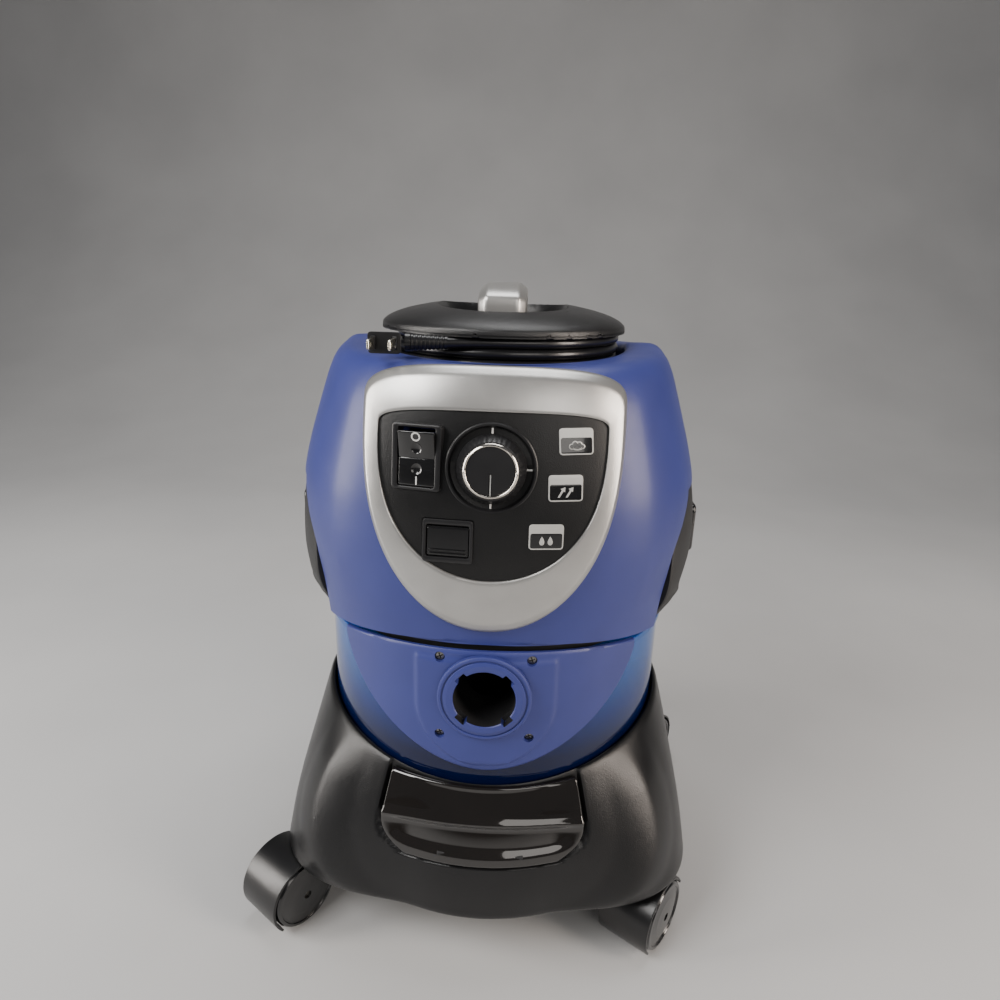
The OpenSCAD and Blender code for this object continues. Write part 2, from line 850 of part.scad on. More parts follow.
module carry_handle() {
    color("#c4c6c8")
        rotate([90, 0, 90])
            linear_extrude(33, center = true)
                difference() {
                    union() {
                        translate([-42, 446.1])
                            square([84, 15]);
                        translate([0, 461])
                            scale([42, 12])
                                circle(1);
                    }
                    translate([-30, 440])
                        square([60, 18]);
                    translate([0, 458])
                        scale([30, 5])
                            circle(1);
                }
}

pitch = cord_d + 0.1;
coil_out = 79.4;
coil_low = 417;
gland_at = [-36, coil_out, coil_low];

module gland_shape(grow) {
    translate(gland_at)
        rotate([0, 90, 0]) {
            translate([0, 0, -4 - grow])
                cylinder(r = 5.4 + grow, h = 4 + 2 * grow);
            cylinder(r1 = 5.2 + grow, r2 = cord_d / 2 + 0.4 + grow, h = 24 + grow);
        }
}

module cord_gland() {
    color("#101010")
        gland_shape(0);
}

module cord_coil() {
    r_out = coil_out + cord_d / 2;
    r_in = coil_out - (coil_turns - 1) * pitch - cord_d / 2;
    top = coil_low + (coil_layers - 1) * pitch + cord_d / 2;
    color("#161616")
        rotate_extrude()
            translate([r_in, coil_low - cord_d / 2])
                square([r_out - r_in, top - coil_low + cord_d / 2]);
}

// Route of the cord from the winding's last turn to the plug
tail_route = [
    [-6, -79, 437.6], [-14, -79.5, 437.4], [-22, -80.3, 437.2], [-30, -81.2, 437], [-38, -82, 436.9],
    [-45, -82.4, 436.9]
];

module cord_tail() {
    color("#161616")
        swept_bar(tail_route, cord_d / 2, 10);
}

plug_at = [-68.5, -84.5, 437.4];
plug_size = [25.4, 14, 18];
blade_gap = 12.7;

module plug_body() {
    color("#101010") {
        translate(plug_at + [0, plug_size[1] / 2, 0])
            rotate([90, 0, 0])
                rounded_box([plug_size[0], plug_size[2], plug_size[1]], 3.5);
        translate([plug_at[0] + plug_size[0] / 2 - 0.5, tail_route[5][1], plug_at[2]])
            rotate([0, 90, 0])
                cylinder(r1 = 5.4, r2 = cord_d / 2 + 0.6, h = -45 - plug_at[0] - plug_size[0] / 2 + 0.5);
    }
}

module plug_blades() {
    color("#c9c2ae")
        for (side = [-1, 1])
            translate([plug_at[0] + side * blade_gap / 2 - 0.75, plug_at[1] - plug_size[1] / 2 - 17, plug_at[2] - 3.2])
                cube([1.5, 17, 6.4]);
}

// ---------------------------------------------------------------- latches
latch_pivot = [141.6, 0, 336.5];
latch_pin_r = 1.2;
lug_y = 14;
button_z = 297;
button_size = [38, 25.6, 7.2];
latch_rows = [0, 0.06, 0.13, 0.22, 0.35, 0.5, 0.65, 0.8, 0.92, 0.966, 1];

function wing_out(z) = lookup(z, [[247, 134.6], [252, 138], [258, 141], [268, 145.2], [280, 147.4],
    [300, 147.6], [320, 146.4], [335, 144.2], [342, 142.6]]);

module latch_wing() {
    z_at = function (s) wing_low + s * (wing_high - wing_low);
    inner_r = function (z) wing_seat(z) + 0.8 + lookup(z, [[336.5, 0], [338, 0.3], [341, 2.1]]);
    outer_r = function (phi, z) max(wing_out(z) - 2.2 * pow(abs(phi) / wing_half, 2), inner_r(z) + 1);
    cols = [-1 : 0.125 : 1];
    color("#1b1b1c")
        difference() {
            grid_plate(
                [for (s = latch_rows) let (z = z_at(s)) [for (u = cols) polar(outer_r(u * wing_half, z), u * wing_half, z)]],
                [for (s = latch_rows) let (z = z_at(s)) [for (u = cols) polar(inner_r(z), u * wing_half, z)]]);
            translate([140.8, -button_size[1] / 2 - gap, button_z - button_size[0] / 2 - gap])
                cube([20, button_size[1] + 2 * gap, button_size[0] + 2 * gap]);
            translate(latch_pivot)
                rotate([90, 0, 0])
                    cylinder(r = latch_pin_r + running, h = 36, center = true);
            for (side = [-1, 1])
                translate([130, side * lug_y - 2.6, latch_pivot[2] - 5])
                    cube([latch_pivot[0] + 0.5 - 130, 5.2, 12]);
        }
}

module latch_button() {
    color("#0c0c0c")
        translate([143.6, 0, button_z])
            rotate([0, 90, 0])
                rounded_box(button_size, 6);
}

module left_latch() {
    mirror([1, 0, 0])
        latch_wing();
}

module right_latch() {
    latch_wing();
}

module left_latch_button() {
    mirror([1, 0, 0])
        latch_button();
}

module right_latch_button() {
    latch_button();
}

module latch_pins() {
    color("#a8a8a6")
        for (turn = [0, 180])
            rotate([0, 0, turn]) {
                translate(latch_pivot)
                    rotate([90, 0, 0])
                        cylinder(r = latch_pin_r, h = 34, center = true);
                for (side = [-1, 1])
                    translate([137.2, side * lug_y - 2, latch_pivot[2] - 1])
                        cube([latch_pivot[0] - 137.6, 4, 2]);
            }
}

// ---------------------------------------------------------------- output
dolly_body();
dolly_base_plate();
dolly_screws();
release_pedal();
pedal_pin();
pedal_spring();
castor_place(true, true) castor_hood();  // front_left_castor_hood
castor_place(true, true) castor_stem();  // front_left_castor_stem
castor_place(true, true) castor_axle();  // front_left_castor_axle
castor_place(true, true) castor_wheels();  // front_left_castor_wheels
castor_place(true, false) castor_hood();  // front_right_castor_hood
castor_place(true, false) castor_stem();  // front_right_castor_stem
castor_place(true, false) castor_axle();  // front_right_castor_axle
castor_place(true, false) castor_wheels();  // front_right_castor_wheels
castor_place(false, true) castor_hood();  // rear_left_castor_hood
castor_place(false, true) castor_stem();  // rear_left_castor_stem
castor_place(false, true) castor_axle();  // rear_left_castor_axle
castor_place(false, true) castor_wheels();  // rear_left_castor_wheels
castor_place(false, false) castor_hood();  // rear_right_castor_hood
castor_place(false, false) castor_stem();  // rear_right_castor_stem
castor_place(false, false) castor_axle();  // rear_right_castor_axle
castor_place(false, false) castor_wheels();  // rear_right_castor_wheels
water_tank();
tank_apron();
inlet_collar();
inlet_gasket();
inlet_screws();
inlet_tube();
tank_seal();
head_shell();
motor_plate();
panel_frame();
control_panel();
socket_housing();
mode_labels();
motor_housing();
motor_core();
motor_bearings();
hepa_filter();
filter_cover();
cord_post();
cap_dome();
carry_handle();
cord_gland();
rocker_key();
mode_dial();
dial_ring();
socket_flap();
left_latch();
right_latch();
latch_pins();
left_latch_button();
right_latch_button();
motor_shaft();
fan_impeller();
separator();
cord_coil();
cord_tail();
plug_body();
plug_blades();
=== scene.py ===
import math

import bmesh
import bpy
from mathutils import Matrix, Vector
from mathutils.geometry import tessellate_polygon


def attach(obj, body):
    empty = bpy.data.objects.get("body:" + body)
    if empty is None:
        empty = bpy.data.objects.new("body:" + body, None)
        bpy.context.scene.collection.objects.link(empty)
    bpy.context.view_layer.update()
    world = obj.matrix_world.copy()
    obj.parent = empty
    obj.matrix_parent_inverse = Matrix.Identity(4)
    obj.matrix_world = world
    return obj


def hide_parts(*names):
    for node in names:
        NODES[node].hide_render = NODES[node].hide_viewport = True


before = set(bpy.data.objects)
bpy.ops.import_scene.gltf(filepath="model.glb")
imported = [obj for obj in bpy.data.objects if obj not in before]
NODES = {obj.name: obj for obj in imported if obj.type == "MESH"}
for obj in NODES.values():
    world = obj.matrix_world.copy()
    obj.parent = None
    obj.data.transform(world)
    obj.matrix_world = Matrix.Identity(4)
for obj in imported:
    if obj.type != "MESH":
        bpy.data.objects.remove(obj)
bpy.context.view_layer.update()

MM = 0.001


# ---------------------------------------------------------------- camera
def make_camera():
    focal, height, distance = 700.0, 480.0, 521.0
    pitch, roll, heading, azimuth = (math.radians(v) for v in (18.09, 1.67, -0.1, 2.32))
    place = Vector((math.sin(azimuth) * distance, -math.cos(azimuth) * distance, height))
    fx, fy = -math.sin(azimuth), math.cos(azimuth)
    fx, fy = (fx * math.cos(heading) - fy * math.sin(heading),
              fx * math.sin(heading) + fy * math.cos(heading))
    ahead = Vector((fx * math.cos(pitch), fy * math.cos(pitch), -math.sin(pitch)))
    right = Vector((fy, -fx, 0))
    up = right.cross(ahead)
    right2 = right * math.cos(roll) + up * math.sin(roll)
    up2 = up * math.cos(roll) - right * math.sin(roll)
    data = bpy.data.cameras.new("camera")
    data.sensor_width = 36.0
    data.lens = focal / 1000 * 36.0
    data.clip_start, data.clip_end = 0.02, 30.0
    cam = bpy.data.objects.new("camera", data)
    bpy.context.scene.collection.objects.link(cam)
    m = Matrix((right2, up2, -ahead)).transposed().to_4x4()
    m.translation = place * MM
    cam.matrix_world = m
    bpy.context.scene.camera = cam


make_camera()


# ---------------------------------------------------------------- materials
class Nodes:
    """One material's node tree, with short ways to add what it needs."""

    def __init__(self, name):
        self.mat = bpy.data.materials.new(name)
        self.mat.use_nodes = True
        self.tree = self.mat.node_tree
        self.shader = self.tree.nodes["Principled BSDF"]
        self.coords = self.add("ShaderNodeTexCoord").outputs["Object"]

    def add(self, kind, **values):
        n = self.tree.nodes.new(kind)
        for k, v in values.items():
            if k in n.inputs:
                n.inputs[k].default_value = v
            else:
                setattr(n, k, v)
        return n

    def link(self, a, b):
        self.tree.links.new(a, b)

    def noise(self, scale, detail=2.0, roughness=0.5):
        n = self.add("ShaderNodeTexNoise", Scale=scale, Detail=detail, Roughness=roughness)
        self.link(self.coords, n.inputs["Vector"])
        return n.outputs["Fac"]

    def ramp(self, fac, stops):
        n = self.add("ShaderNodeValToRGB")
        n.color_ramp.elements[0].position, n.color_ramp.elements[0].color = stops[0][0], (*stops[0][1], 1)
        n.color_ramp.elements[1].position, n.color_ramp.elements[1].color = stops[-1][0], (*stops[-1][1], 1)
        for p, c in stops[1:-1]:
            e = n.color_ramp.elements.new(p)
            e.color = (*c, 1)
        self.link(fac, n.inputs["Fac"])
        return n.outputs["Color"]

    def spread(self, fac, low, high):
        n = self.add("ShaderNodeMapRange")
        n.inputs["To Min"].default_value, n.inputs["To Max"].default_value = low, high
        self.link(fac, n.inputs["Value"])
        return n.outputs["Result"]

    def bump(self, fac, distance, strength=1.0, below=None):
        n = self.add("ShaderNodeBump", Strength=strength, Distance=distance)
        self.link(fac, n.inputs["Height"])
        if below is not None:
            self.link(below, n.inputs["Normal"])
        return n.outputs["Normal"]


def scaled(color, k):
    return tuple(min(1.0, c * k) for c in color)


def finish(name, color, rough, grain=0.0, grain_scale=1400.0, vary=0.08, metallic=0.0, coat=0.0,
           coat_rough=0.1,
           spec=0.5, cloud=35.0, rough_vary=0.05, wave=0.0):
    """A moulded or painted finish: slow colour drift, a fine grain in the surface and uneven gloss."""
    n = Nodes(name)
    slow = n.noise(cloud, 3.0)
    n.link(n.ramp(slow, [(0.3, scaled(color, 1 - vary)), (0.7, scaled(color, 1 + vary))]),
           n.shader.inputs["Base Color"])
    n.link(n.spread(n.noise(cloud * 2.3, 4.0), rough - rough_vary, rough + rough_vary),
           n.shader.inputs["Roughness"])
    normal = None
    if wave:
        normal = n.bump(n.noise(22.0, 1.0), wave)
    if grain:
        normal = n.bump(n.noise(grain_scale, 2.0, 0.6), grain, below=normal)
    if normal is not None:
        n.link(normal, n.shader.inputs["Normal"])
    n.shader.inputs["Metallic"].default_value = metallic
    n.shader.inputs["Specular IOR Level"].default_value = spec
    n.shader.inputs["Coat Weight"].default_value = coat
    n.shader.inputs["Coat Roughness"].default_value = coat_rough
    return n.mat


M = {
    "blue": finish("housing_blue", (0.034, 0.044, 0.20), 0.40, grain=0.00006, grain_scale=1600, vary=0.05,
                   spec=0.45,
                   coat=0.1, coat_rough=0.35, wave=0.0002),
    "silver": finish("satin_silver", (0.50, 0.495, 0.48), 0.33, grain=0.00004, grain_scale=2600, vary=0.04,
                     metallic=0.82, cloud=60, rough_vary=0.03),
    "bright": finish("bright_ring", (0.66, 0.62, 0.56), 0.14, vary=0.03, metallic=1.0, rough_vary=0.04),
    "panel": finish("panel_black", (0.0045, 0.0045, 0.0048), 0.38, grain=0.00012, grain_scale=1500,
                    vary=0.2, spec=0.4),
    "gloss": finish("gloss_black", (0.006, 0.006, 0.0065), 0.16, vary=0.15, coat=0.6, coat_rough=0.06),
    "satin": finish("satin_black", (0.010, 0.010, 0.011), 0.34, grain=0.00004, grain_scale=2200, vary=0.15),
    "dolly": finish("dolly_black", (0.0055, 0.0055, 0.006), 0.30, grain=0.00013, grain_scale=1250,
                    vary=0.15, spec=0.42),
    "pedal": finish("pedal_gloss", (0.008, 0.0065, 0.0055), 0.07, vary=0.12, coat=0.9, coat_rough=0.03,
                    rough_vary=0.02,
                    wave=0.0003),
    "cap": finish("cap_grain", (0.012, 0.012, 0.0125), 0.30, grain=0.00022, grain_scale=1500, vary=0.12,
                  spec=0.55),
    "cord": finish("cord_black", (0.008, 0.008, 0.009), 0.30, grain=0.00005, grain_scale=500, vary=0.15,
                   coat=0.2),
    "latch": finish("latch_black", (0.011, 0.011, 0.0115), 0.5, grain=0.0002, grain_scale=1400, vary=0.15),
    "castor": finish("castor_black", (0.0065, 0.0065, 0.007), 0.30, grain=0.00006, grain_scale=1500,
                     vary=0.12, coat=0.12,
                     coat_rough=0.3),
    "tyre": finish("wheel_black", (0.006, 0.006, 0.0065), 0.18, vary=0.15, coat=0.5, coat_rough=0.07),
    "dark": finish("dark_plastic", (0.012, 0.012, 0.013), 0.5, grain=0.0001, vary=0.15),
    "rubber": finish("seal_rubber", (0.009, 0.009, 0.009), 0.62, grain=0.00012, grain_scale=900, vary=0.15),
    "white": finish("print_white", (0.62, 0.62, 0.60), 0.4, vary=0.05),
    "print": finish("print_silver", (0.52, 0.52, 0.50), 0.38, vary=0.05, metallic=0.25),
    "steel": finish("zinc_steel", (0.30, 0.29, 0.27), 0.38, grain=0.00005, grain_scale=1800, vary=0.1,
                    metallic=1.0),
    "blade": finish("blade_plate", (0.72, 0.68, 0.58), 0.22, vary=0.06, metallic=1.0),
    "alloy": finish("pressed_alloy", (0.55, 0.56, 0.57), 0.38, grain=0.00008, vary=0.08, metallic=1.0),
    "winding": finish("winding", (0.30, 0.13, 0.05), 0.35, grain=0.0003, grain_scale=700, vary=0.2,
                      metallic=0.4),
    "paper": finish("filter_paper", (0.74, 0.72, 0.66), 0.8, grain=0.0004, grain_scale=300, vary=0.06),
}


def clear_blue(name):
    n = Nodes(name)
    apart = n.add("ShaderNodeSeparateXYZ")
    n.link(n.coords, apart.inputs["Vector"])
    # Painted shade: the wall is dark navy below 165 mm and turns clear blue by 225 mm. This paints onto the
    # lower tank the shade the dolly casts there, and a little noise blurs the change.
    painted_shade_level = n.add("ShaderNodeMapRange")
    for key, value in (("From Min", 0.165), ("From Max", 0.225), ("To Min", 0.0), ("To Max", 0.9)):
        painted_shade_level.inputs[key].default_value = value
    n.link(apart.outputs["Z"], painted_shade_level.inputs["Value"])
    drift = n.add("ShaderNodeMath", operation="MULTIPLY_ADD")
    drift.inputs[1].default_value = 0.1
    n.link(n.noise(18.0, 2.0), drift.inputs[0])
    n.link(painted_shade_level.outputs["Result"], drift.inputs[2])
    n.link(n.ramp(drift.outputs["Value"], [(0.0, (0.004, 0.009, 0.06)), (0.4, (0.012, 0.05, 0.30)),
                                           (1.0, (0.05, 0.21, 0.68))]),
           n.shader.inputs["Base Color"])
    n.link(n.spread(n.noise(40.0, 3.0), 0.03, 0.09), n.shader.inputs["Roughness"])
    n.shader.inputs["Transmission Weight"].default_value = 0.62
    n.shader.inputs["IOR"].default_value = 1.45
    n.shader.inputs["Coat Weight"].default_value = 0.05
    n.shader.inputs["Specular IOR Level"].default_value = 0.4
    return n.mat


M["tank"] = clear_blue("tank_clear_blue")


# ---------------------------------------------------------------- mesh helpers
def obj_from(name, verts, faces, mat, body, node=None, slot=None, sharp=35.0, weld=True):
    """A finished piece from points in millimetres."""
    mesh = bpy.data.meshes.new(name)
    mesh.from_pydata([Vector(v) * MM for v in verts], [], faces)
    bm = bmesh.new()
    bm.from_mesh(mesh)
    if weld:
        bmesh.ops.remove_doubles(bm, verts=bm.verts, dist=1e-6)
    bmesh.ops.recalc_face_normals(bm, faces=bm.faces)
    bm.to_mesh(mesh)
    bm.free()
    o = bpy.data.objects.new(name, mesh)
    bpy.context.scene.collection.objects.link(o)
    return dressed(o, mat, body, node, sharp)


def dressed(o, mat, body, node=None, sharp=35.0):
    smooth(o.data, sharp)
    o.data.materials.clear()
    o.data.materials.append(M[mat])
    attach(o, body)
    if node:
        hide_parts(*([node] if isinstance(node, str) else node))
    return o


def smooth(mesh, sharp):
    mesh.polygons.foreach_set("use_smooth", [True] * len(mesh.polygons))
    mesh.set_sharp_from_angle(angle=math.radians(sharp))


def quads(rows, cols, wrap_rows=False, wrap_cols=False):
    out = []
    for i in range(rows if wrap_rows else rows - 1):
        for j in range(cols if wrap_cols else cols - 1):
            i2, j2 = (i + 1) % rows, (j + 1) % cols
            out.append((i * cols + j, i * cols + j2, i2 * cols + j2, i2 * cols + j))
    return out


def grid_solid(outer, inner):
    """Closed plate between two grids of points with the same rows and columns."""
    rows, cols = len(outer), len(outer[0])
    loops = [list(outer[r]) + list(reversed(inner[r])) for r in range(rows)]
    k = 2 * cols
    verts = [p for l in loops for p in l]
    faces = quads(rows, k, wrap_cols=True)
    for base in (0, (rows - 1) * k):
        for j in range(cols - 1):
            faces.append((base + j, base + j + 1, base + k - 2 - j, base + k - 1 - j))
    return verts, faces


def fillet(points, radius, steps=5, closed=True):
    """Rounds the corners of a polyline in the plane."""
    out, n = [], len(points)
    for i, p in enumerate(points):
        r = radius[i] if isinstance(radius, (list, tuple)) else radius
        if (not closed and i in (0, n - 1)) or r <= 0:
            out.append(tuple(p))
            continue
        p = Vector(p)
        a, b = Vector(points[i - 1]) - p, Vector(points[(i + 1) % n]) - p
        la, lb = a.length, b.length
        a.normalize()
        b.normalize()
        half = a.angle(b) / 2
        cut = min(r / math.tan(half), 0.48 * la, 0.48 * lb)
        start, end = p + a * cut, p + b * cut
        for s in range(steps + 1):
            t = s / steps
            out.append(tuple(start * (1 - t) ** 2 + p * 2 * t * (1 - t) + end * t ** 2))
    return out


def lathe(profile, segments=128):
    """Turns a closed profile of (radius, height) round Z; points on the axis become single poles."""
    n = len(profile)
    verts, index = [], {}
    for k in range(segments):
        a = 2 * math.pi * k / segments
        for j, (r, z) in enumerate(profile):
            if r < 0.01:
                if ("pole", j) not in index:
                    index["pole", j] = len(verts)
                    verts.append((0.0, 0.0, z))
                index[k, j] = index["pole", j]
            else:
                index[k, j] = len(verts)
                verts.append((r * math.cos(a), r * math.sin(a), z))
    faces = []
    for k in range(segments):
        for j in range(n):
            ring = [index[k, j], index[k, (j + 1) % n], index[(k + 1) % segments, (j + 1) % n],
                    index[(k + 1) % segments, j]]
            ring = [v for i, v in enumerate(ring) if v != ring[i - 1]]
            if len(set(ring)) > 2:
                faces.append(tuple(ring))
    return verts, faces


def arc_solid(section, start, end, steps):
    """Turns a closed section of (radius, height) part of the way round Z and closes both ends."""
    n = len(section)
    verts = []
    for k in range(steps + 1):
        a = math.radians(start + (end - start) * k / steps)
        verts += [(r * math.cos(a), r * math.sin(a), z) for r, z in section]
    faces = quads(steps + 1, n, wrap_cols=True)
    tri = cap_fill(section)
    return verts, faces + tri + [tuple(steps * n + i for i in t) for t in tri]


def cap_fill(loop):
    """Triangles for a flat outline given as points, by index."""
    return [tuple(t) for t in tessellate_polygon([[Vector((*p[:2], 0)) for p in loop]])]


def prism(outline, heights, inset=None):
    """Solid over a flat outline at z levels; inset moves the outline of each level inward."""
    n = len(outline)
    inset = inset or [0] * len(heights)
    area = sum(outline[i][0] * outline[(i + 1) % n][1] - outline[(i + 1) % n][0] * outline[i][1]
               for i in range(n))
    sign = 1 if area > 0 else -1
    normals = []
    for i in range(n):
        a, b = Vector(outline[i - 1]), Vector(outline[(i + 1) % n])
        d = (b - a).normalized()
        normals.append(Vector((-d.y, d.x)) * sign)
    verts = []
    for z, k in zip(heights, inset):
        verts += [(p[0] + m.x * k, p[1] + m.y * k, z) for p, m in zip(outline, normals)]
    faces = quads(len(heights), n, wrap_cols=True)
    tri = cap_fill(outline)
    top = (len(heights) - 1) * n
    faces += [tuple(t) for t in tri] + [tuple(top + i for i in t) for t in tri]
    return verts, faces


def soft_box(w, h, r, d, edge=0.8, steps=4, z0=0.0, both=False):
    """Rounded rectangle slab with its upper edge (or both) rounded over."""
    base = fillet([(-w / 2, -h / 2), (w / 2, -h / 2), (w / 2, h / 2), (-w / 2, h / 2)], r, 8)
    ups = [(z0 + d - edge + edge * math.sin(a), edge * (1 - math.cos(a)))
           for a in (math.pi / 2 * k / steps for k in range(steps + 1))]
    lows = [(z0 + edge - edge * math.sin(a), edge * (1 - math.cos(a)))
            for a in (math.pi / 2 * k / steps for k in range(steps, -1, -1))] if both else [(z0, 0)]
    lev = lows + ups
    return prism(base, [l[0] for l in lev], [l[1] for l in lev])


def joined(*parts):
    verts, faces = [], []
    for v, f in parts:
        k = len(verts)
        verts += list(v)
        faces += [tuple(i + k for i in t) for t in f]
    return verts, faces


def moved(part, m):
    return [tuple(m @ Vector(v)) for v in part[0]], part[1]


def cut(o, *cutters):
    """Takes other shapes out of a piece, for good."""
    for c in cutters:
        mesh = bpy.data.meshes.new("cutter")
        mesh.from_pydata([Vector(v) * MM for v in c[0]], [], c[1])
        bm = bmesh.new()
        bm.from_mesh(mesh)
        bmesh.ops.remove_doubles(bm, verts=bm.verts, dist=1e-7)
        bmesh.ops.recalc_face_normals(bm, faces=bm.faces)
        bm.to_mesh(mesh)
        bm.free()
        tool = bpy.data.objects.new("cutter", mesh)
        bpy.context.scene.collection.objects.link(tool)
        mod = o.modifiers.new("cut", "BOOLEAN")
        mod.operation, mod.object, mod.solver = "DIFFERENCE", tool, "EXACT"
        dg = bpy.context.evaluated_depsgraph_get()
        done = bpy.data.meshes.new_from_object(o.evaluated_get(dg))
        o.modifiers.clear()
        o.data = done
        bpy.data.objects.remove(tool)
    return o


def rot(axis, deg):
    return Matrix.Rotation(math.radians(deg), 4, axis)


def shift(x, y, z):
    return Matrix.Translation((x, y, z))


def table_at(z, rows, col):
    """Smooth curve through the rows of a table."""
    if z <= rows[0][0]:
        return rows[0][col]
    if z >= rows[-1][0]:
        return rows[-1][col]
    i = max(k for k in range(len(rows) - 1) if rows[k][0] <= z)
    a, b = rows[i], rows[i + 1]
    h = b[0] - a[0]
    prev, nxt = rows[max(i - 1, 0)], rows[min(i + 2, len(rows) - 1)]
    ma = (b[col] - prev[col]) / (b[0] - prev[0]) if i else (b[col] - a[col]) / h
    mb = (nxt[col] - a[col]) / (nxt[0] - a[0]) if i + 2 < len(rows) else (b[col] - a[col]) / h
    t = (z - a[0]) / h
    return ((2 * t ** 3 - 3 * t ** 2 + 1) * a[col] + (t ** 3 - 2 * t ** 2 + t) * h * ma
            + (3 * t ** 2 - 2 * t ** 3) * b[col] + (t ** 3 - t ** 2) * h * mb)


def smoothstep(a, b, x):
    t = min(1.0, max(0.0, (x - a) / (b - a)))
    return t * t * (3 - 2 * t)


def polar(r, phi, z):
    a = math.radians(phi)
    return (r * math.cos(a), r * math.sin(a), z)


def folded(phi):
    return abs((phi + 540) % 360 - 180)


# ---------------------------------------------------------------- cord and plug
CORD_D, PITCH, COIL_OUT, COIL_LOW = 6.8, 6.9, 79.4, 417.0
GLAND = (-36.0, 79.4, 417.0)
TAIL = [(-6, -79, 437.6), (-14, -79.5, 437.4), (-22, -80.3, 437.2), (-30, -81.2, 437), (-38, -82, 436.9),
        (-45, -82.4, 436.9)]
PLUG_AT, PLUG_SIZE, BLADE_GAP = (-68.5, -84.5, 436.9), (25.4, 14.0, 18.0), 12.7


def cord_points():
    """Out of the gland, four layers of four turns round the neck, then along the front to the plug."""
    pts = [(x, GLAND[1], GLAND[2]) for x in (-34, -24, -16, -8)]
    zone, width, last = 300.0, 40.0, 5580.0
    step = 10.0
    k = 0
    while k * step < last - 4:
        th = k * step
        turn, part = 0, 1.0
        if th >= zone:
            turn, part = int((th - zone) // 360) + 1, min(1.0, ((th - zone) % 360) / width)

        def where(i):
            layer, n = divmod(i, 4)
            ring = n if layer % 2 == 0 else 3 - n
            return COIL_OUT - ring * PITCH, COIL_LOW + layer * PITCH

        a = where(max(turn - 1, 0))
        b = where(turn)
        s = part * part * (3 - 2 * part)
        r, z = a[0] + (b[0] - a[0]) * s, a[1] + (b[1] - a[1]) * s
        if a[0] == b[0] and a[1] != b[1]:
            r += (2.2 if a[0] > 70 else -2.2) * math.sin(math.pi * part)
        rad = math.radians(th)
        pts.append((r * math.sin(rad), r * math.cos(rad), z))
        k += 1
    return pts + TAIL[1:] + [(-52, -82.8, 436.9)]


def make_cord():
    pts = cord_points()
    curve = bpy.data.curves.new("mains_cord", "CURVE")
    curve.dimensions = "3D"
    spline = curve.splines.new("POLY")
    spline.points.add(len(pts) - 1)
    for p, q in zip(spline.points, pts):
        p.co = (*(Vector(q) * MM), 1)
    spline.use_smooth = True
    curve.bevel_depth = CORD_D / 2 * MM
    curve.bevel_resolution = 3
    curve.use_fill_caps = True
    cord = bpy.data.objects.new("mains_cord", curve)
    bpy.context.scene.collection.objects.link(cord)
    curve.materials.append(M["cord"])
    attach(cord, "head")
    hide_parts("cord_coil", "cord_tail")
    length = sum((Vector(b) - Vector(a)).length for a, b in zip(pts, pts[1:]))
    return cord, length * MM


def make_plug():
    w, d, h = PLUG_SIZE
    body = soft_box(w, h, 3.6, d, edge=1.4, both=True)
    frontward = shift(PLUG_AT[0], PLUG_AT[1] + d / 2, PLUG_AT[2]) @ rot("X", 90)
    collar = soft_box(w - 5, h - 5, 2.6, 0.9, edge=0.3, z0=d - 0.3)
    o = obj_from("plug_shell", *joined(moved(body, frontward), moved(collar, frontward)), "satin", "head",
                 "plug_body", "cord_rubber", sharp=40)
    slots = [moved(soft_box(2.6, 8.2, 0.6, 4, edge=0.2), frontward @ shift(s * BLADE_GAP / 2, 0, d - 0.4))
             for s in (-1, 1)]
    cut(o, *slots)
    dressed(o, "satin", "head", sharp=40)
    rings = []
    x0, x1, y0, y1, z = PLUG_AT[0] + w / 2 - 1, -31.0, PLUG_AT[1] + 1.7, -81.2, PLUG_AT[2]
    prof = []
    for k in range(61):
        t = k / 60
        r = 5.6 * (1 - t) + 3.9 * t
        rib = 0.45 if 0.12 < t < 0.92 and (k % 6) < 3 else 0.0
        prof.append((t, r - rib))
    for t, r in prof:
        x = x0 + (x1 - x0) * t
        c = Vector((x, y0 + (y1 - y0) * t, z + 0.1 * t))
        rings += [tuple(c + Vector((0, r * math.cos(a), r * math.sin(a))))
                  for a in (2 * math.pi * j / 24 for j in range(24))]
    relief = obj_from("plug_strain_relief", rings, quads(61, 24, wrap_cols=True), "cord", "head",
                      slot="cord_rubber")
    blades = []
    for s in (-1, 1):
        outline = [(-3.2, 0), (3.2, 0), (3.2, 15.4), (2.2, 17), (-2.2, 17), (-3.2, 15.4)]
        part = prism(fillet(outline, 0.5, 3), [-0.75, -0.5, 0.5, 0.75], [0.2, 0, 0, 0.2])
        turn = Matrix(((0, 0, 1, 0), (0, -1, 0, 0), (1, 0, 0, 0), (0, 0, 0, 1)))
        blades.append(moved(part, shift(PLUG_AT[0] + s * BLADE_GAP / 2, PLUG_AT[1] - d / 2, PLUG_AT[2])
                            @ turn))
    metal = obj_from("plug_blade_pair", *joined(*blades), "blade", "head", "plug_blades", "plug_brass",
                     sharp=30)
    holes = []
    for s in (-1, 1):
        hole = moved(lathe([(0.001, -3), (1.6, -3), (1.6, 3), (0.001, 3)], 24),
                     shift(PLUG_AT[0] + s * BLADE_GAP / 2, PLUG_AT[1] - d / 2 - 12.5, PLUG_AT[2])
                     @ rot("Y", 90))
        holes.append(hole)
    cut(metal, *holes)
    dressed(metal, "blade", "head", sharp=30)
    return o, relief, metal


def make_gland():
    prof = [(0.001, -4), (5.4, -4), (5.4, -0.6), (5.0, 0)]
    for k in range(31):
        t = k / 30
        prof.append((5.0 * (1 - t) + 3.75 * t - (0.4 if 0.1 < t < 0.9 and k % 4 < 2 else 0), 0.6 + 23 * t))
    prof.append((0.001, 23.6))
    place = shift(*GLAND) @ rot("Y", 90)
    return obj_from("cord_strain_relief", *moved(lathe(prof, 32), place), "rubber", "head", "cord_gland",
                    "cord_rubber")


cord, cord_length = make_cord()
plug, plug_relief, plug_metal = make_plug()
gland = make_gland()

